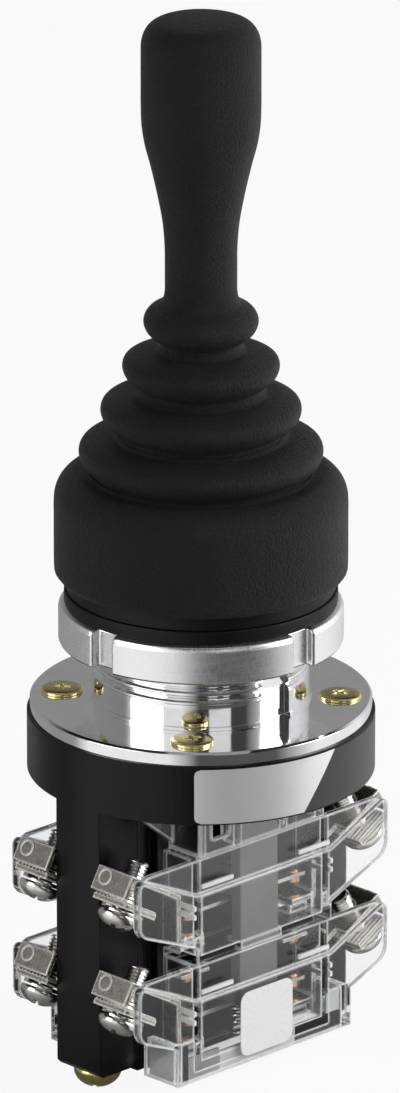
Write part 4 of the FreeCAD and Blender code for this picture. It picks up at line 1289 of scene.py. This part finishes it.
# %% World
def build_world():
    world = bpy.data.worlds.new("studio")
    bpy.context.scene.world = world
    world.use_nodes = True
    tree = world.node_tree
    soft = tree.nodes["Background"]
    soft.inputs["Color"].default_value = (1, 1, 1, 1)
    path, seen = straight_ray(tree)
    up = add_node(tree, "ShaderNodeTexCoord").outputs["Generated"]
    height = split_xyz(tree, up)["Z"]
    wire(tree, soft, Strength=spread(tree, height, 0.5, 0.06, 0.0, 0.5))
    shade = spread(tree, height, 0.95, 0.03, 0.4, 0.6)
    white = add_node(tree, "ShaderNodeBackground", {"Color": (1, 1, 1, 1), "Strength": 1.0}).outputs[0]
    graded = add_node(tree, "ShaderNodeBackground", {"Color": cards(tree, up), "Strength": shade}).outputs[0]
    gloss = mix_shaders(tree, path["Is Glossy Ray"], soft.outputs[0], graded)
    last = mix_shaders(tree, seen, gloss, white)
    wire(tree, tree.nodes["World Output"], Surface=last)
    print("world nodes:", len(tree.nodes))


build_world()


# %% Floor
FLOOR_HALF = 1.6
FLOOR_DROP = 0.0002
FLOOR_GLOW = 0.92
UNDER_SHADE = (0.055, 0.1)


def build_floor(level_z):
    bm = bmesh.new()
    bmesh.ops.create_grid(bm, x_segments=1, y_segments=1, size=FLOOR_HALF)
    bmesh.ops.translate(bm, verts=bm.verts, vec=(0, 0, level_z))
    floor = linked("floor", mesh_of(bm, "floor", smooth=False))
    tree, shader, place = new_material("floor_pale", Base_Color=(0.86, 0.86, 0.86, 1), Roughness=0.8)
    path, straight = straight_ray(tree)
    seen = maths(tree, "MAXIMUM", straight, path["Is Glossy Ray"])
    lit = blend_colours(tree, straight, cards(tree, place), (1, 1, 1))
    share = maths(tree, "MULTIPLY", seen, FLOOR_GLOW)
    shaded = spread(tree, vector_maths(tree, "LENGTH", place), 0.1, 1.0, *UNDER_SHADE)
    level = maths(tree, "MAXIMUM", straight, shaded)
    white = add_node(tree, "ShaderNodeEmission", {"Color": lit, "Strength": level}).outputs[0]
    both = mix_shaders(tree, share, shader.outputs[0], white)
    wire(tree, tree.nodes["Material Output"], Surface=both)
    floor.data.materials.append(MATERIALS["floor_pale"])
    floor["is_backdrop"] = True
    print("floor at", round(level_z / MM, 2), "mm")


build_floor(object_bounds()[0].z - FLOOR_DROP)


# %% Lamps
LAMP_AIM = Vector((0, 0, 0.02))
# name: degrees round from the camera, degrees up, metres away, width, height, watts
LAMPS = {
    "key_right": (84, 16, 0.9, 0.6, 0.9, 6.8),
    "key_left": (-60, 14, 0.9, 0.6, 0.9, 3.6),
    "front": (20, 24, 1.3, 0.5, 0.4, 0.5),
    "top": (10, 70, 0.9, 0.6, 0.6, 0.35),
    "back": (175, 56, 1.0, 0.8, 0.5, 0.55),
}


def direction(azimuth, elevation):
    """From the part towards a place round it. Azimuth 0 is the keyway's side."""
    a, e = math.radians(azimuth), math.radians(elevation)
    return Vector((math.sin(a) * math.cos(e), -math.cos(a) * math.cos(e), math.sin(e)))


def stand(name, data, place, away):
    """Puts a lamp or the camera at a place, looking back along away."""
    thing = linked(name, data)
    thing.location = place
    thing.rotation_mode = "QUATERNION"
    thing.rotation_quaternion = (-away).to_track_quat("-Z", "Y")
    return thing


for name, (turn, elevation, distance, width, height, watts) in LAMPS.items():
    light = bpy.data.lights.new(name, "AREA")
    light.shape = "RECTANGLE"
    light.size, light.size_y = width, height
    light.energy = watts
    away = direction(CAMERA_AZIMUTH + turn, elevation)
    stand(name, light, LAMP_AIM + away * distance, away)
print("lamps:", len(LAMPS))


# %% [markdown]
# ## Camera
# The photo was taken from far away with a long lens, about 19.5 degrees above the
# horizontal. At 1.5 m the picture's long side spans 150 mm, which sets the lens.

# %% Camera
CAMERA_ELEVATION = 19.5
CAMERA_DISTANCE = 1.5
PICTURE_HIGH = 0.1503
SENSOR = 36.0
AIM_Z = 0.0215
AIM_RIGHT = -0.00014

back = direction(CAMERA_AZIMUTH, CAMERA_ELEVATION)
right = Vector((math.cos(VIEW_AZIMUTH), math.sin(VIEW_AZIMUTH), 0))
camera = bpy.data.cameras.new("camera")
camera.sensor_width = SENSOR
camera.lens = SENSOR * CAMERA_DISTANCE / PICTURE_HIGH
camera.clip_start, camera.clip_end = 0.1, 10.0
camera_place = Vector((0, 0, AIM_Z)) + right * AIM_RIGHT + back * CAMERA_DISTANCE
bpy.context.scene.camera = stand("camera", camera, camera_place, back)
bpy.context.scene.view_settings.view_transform = "Standard"
print("lens:", round(camera.lens, 1), "mm")
